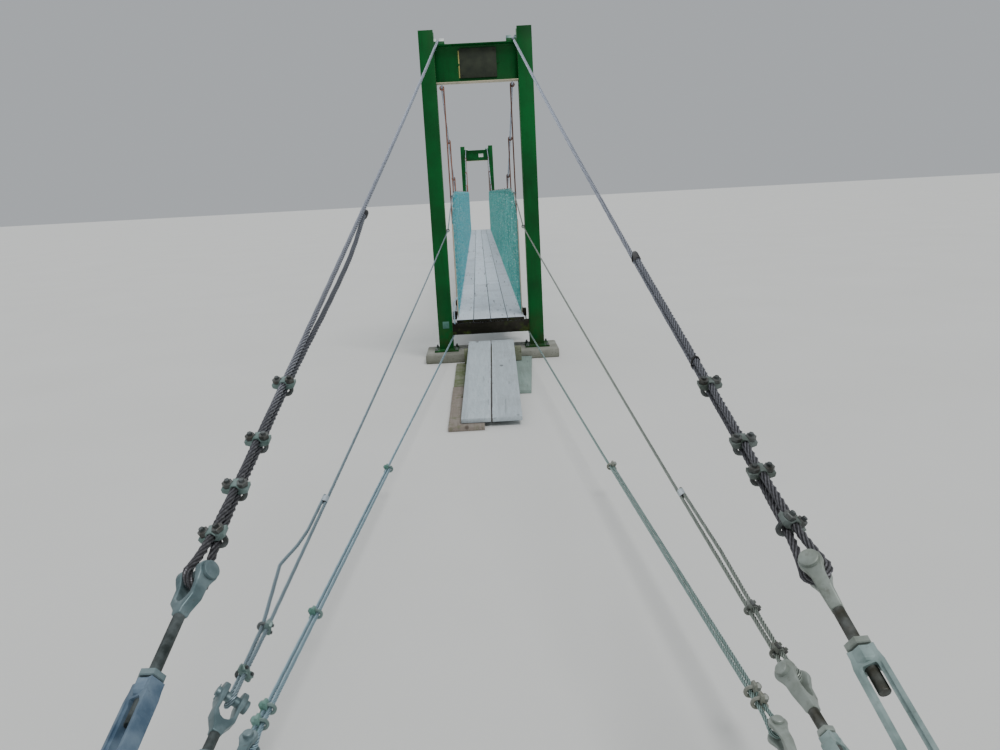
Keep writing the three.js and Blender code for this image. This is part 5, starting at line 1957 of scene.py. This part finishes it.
class BRIDGE_OT_stage(bpy.types.Operator):
    """Sets the camera at the photo's viewing angle, a pale floor and soft light"""

    bl_idname = "footbridge.stage"
    bl_label = "Stage"

    def execute(self, context):
        self.camera()
        deselect()
        bpy.ops.mesh.primitive_plane_add(size=FLOOR_SIZE)
        floor = bpy.context.object
        floor.name = "floor"
        floor.data.materials.append(finish_of("pale_floor"))
        for name, energy, size, aim in LIGHTS:
            light = bpy.data.lights.new(name, "SUN")
            light.energy = energy
            light.angle = math.radians(size)
            lamp = bpy.data.objects.new(name, light)
            lamp.rotation_euler = [math.radians(a) for a in aim]
            context.collection.objects.link(lamp)
        world = bpy.data.worlds.new("studio")
        world.use_nodes = True
        sky = world.node_tree.nodes["Background"]
        sky.inputs["Color"].default_value = SKY_COLOUR
        sky.inputs["Strength"].default_value = SKY_STRENGTH
        context.scene.world = world
        return {"FINISHED"}

    def camera(self):
        yaw, pitch, roll = (math.radians(a) for a in (CAMERA_YAW, CAMERA_PITCH, CAMERA_ROLL))
        right = Vector((math.cos(yaw), -math.sin(yaw), 0))
        forward = Vector((math.sin(yaw) * math.cos(pitch), math.cos(yaw) * math.cos(pitch), -math.sin(pitch)))
        up = right.cross(forward)
        rolled_right = right * math.cos(roll) + up * math.sin(roll)
        rolled_up = up * math.cos(roll) - right * math.sin(roll)
        axes = Matrix((rolled_right, rolled_up, -forward)).transposed()
        lens = bpy.data.cameras.new("camera")
        lens.sensor_width = 36
        lens.lens = FOCAL_PIXELS / PHOTO_WIDTH * lens.sensor_width
        lens.clip_end = 500
        eye = bpy.data.objects.new("camera", lens)
        eye.matrix_world = Matrix.Translation(CAMERA_PLACE) @ axes.to_4x4()
        bpy.context.collection.objects.link(eye)
        bpy.context.scene.camera = eye


class BRIDGE_PT_panel(bpy.types.Panel):
    """Lists the steps that dress the bridge"""

    bl_label = "Footbridge"
    bl_idname = "BRIDGE_PT_panel"
    bl_space_type = "VIEW_3D"
    bl_region_type = "UI"
    bl_category = "Footbridge"

    def draw(self, context):
        for group in (context.scene.footbridge_sizes, context.scene.footbridge_colours):
            for name in group.__annotations__:
                self.layout.prop(group, name)
        for operator in OPERATORS:
            self.layout.operator(operator.bl_idname)


OPERATORS = (
    BRIDGE_OT_stage, BRIDGE_OT_cables, BRIDGE_OT_clips, BRIDGE_OT_turnbuckles, BRIDGE_OT_anchors,
    BRIDGE_OT_towers, BRIDGE_OT_saddles, BRIDGE_OT_plates, BRIDGE_OT_deck, BRIDGE_OT_cross_frames,
    BRIDGE_OT_fences, BRIDGE_OT_ramps,
)
CLASSES = (FootbridgeSizes, FootbridgeColours, *OPERATORS, BRIDGE_PT_panel)


def register():
    for cls in CLASSES:
        bpy.utils.register_class(cls)
    bpy.types.Scene.footbridge_sizes = bpy.props.PointerProperty(type=FootbridgeSizes)
    bpy.types.Scene.footbridge_colours = bpy.props.PointerProperty(type=FootbridgeColours)


def unregister():
    del bpy.types.Scene.footbridge_colours
    del bpy.types.Scene.footbridge_sizes
    for cls in reversed(CLASSES):
        bpy.utils.unregister_class(cls)


def main():
    register()
    for operator in OPERATORS:
        group, name = operator.bl_idname.split(".")
        getattr(getattr(bpy.ops, group), name)()


if __name__ == "__main__":
    main()
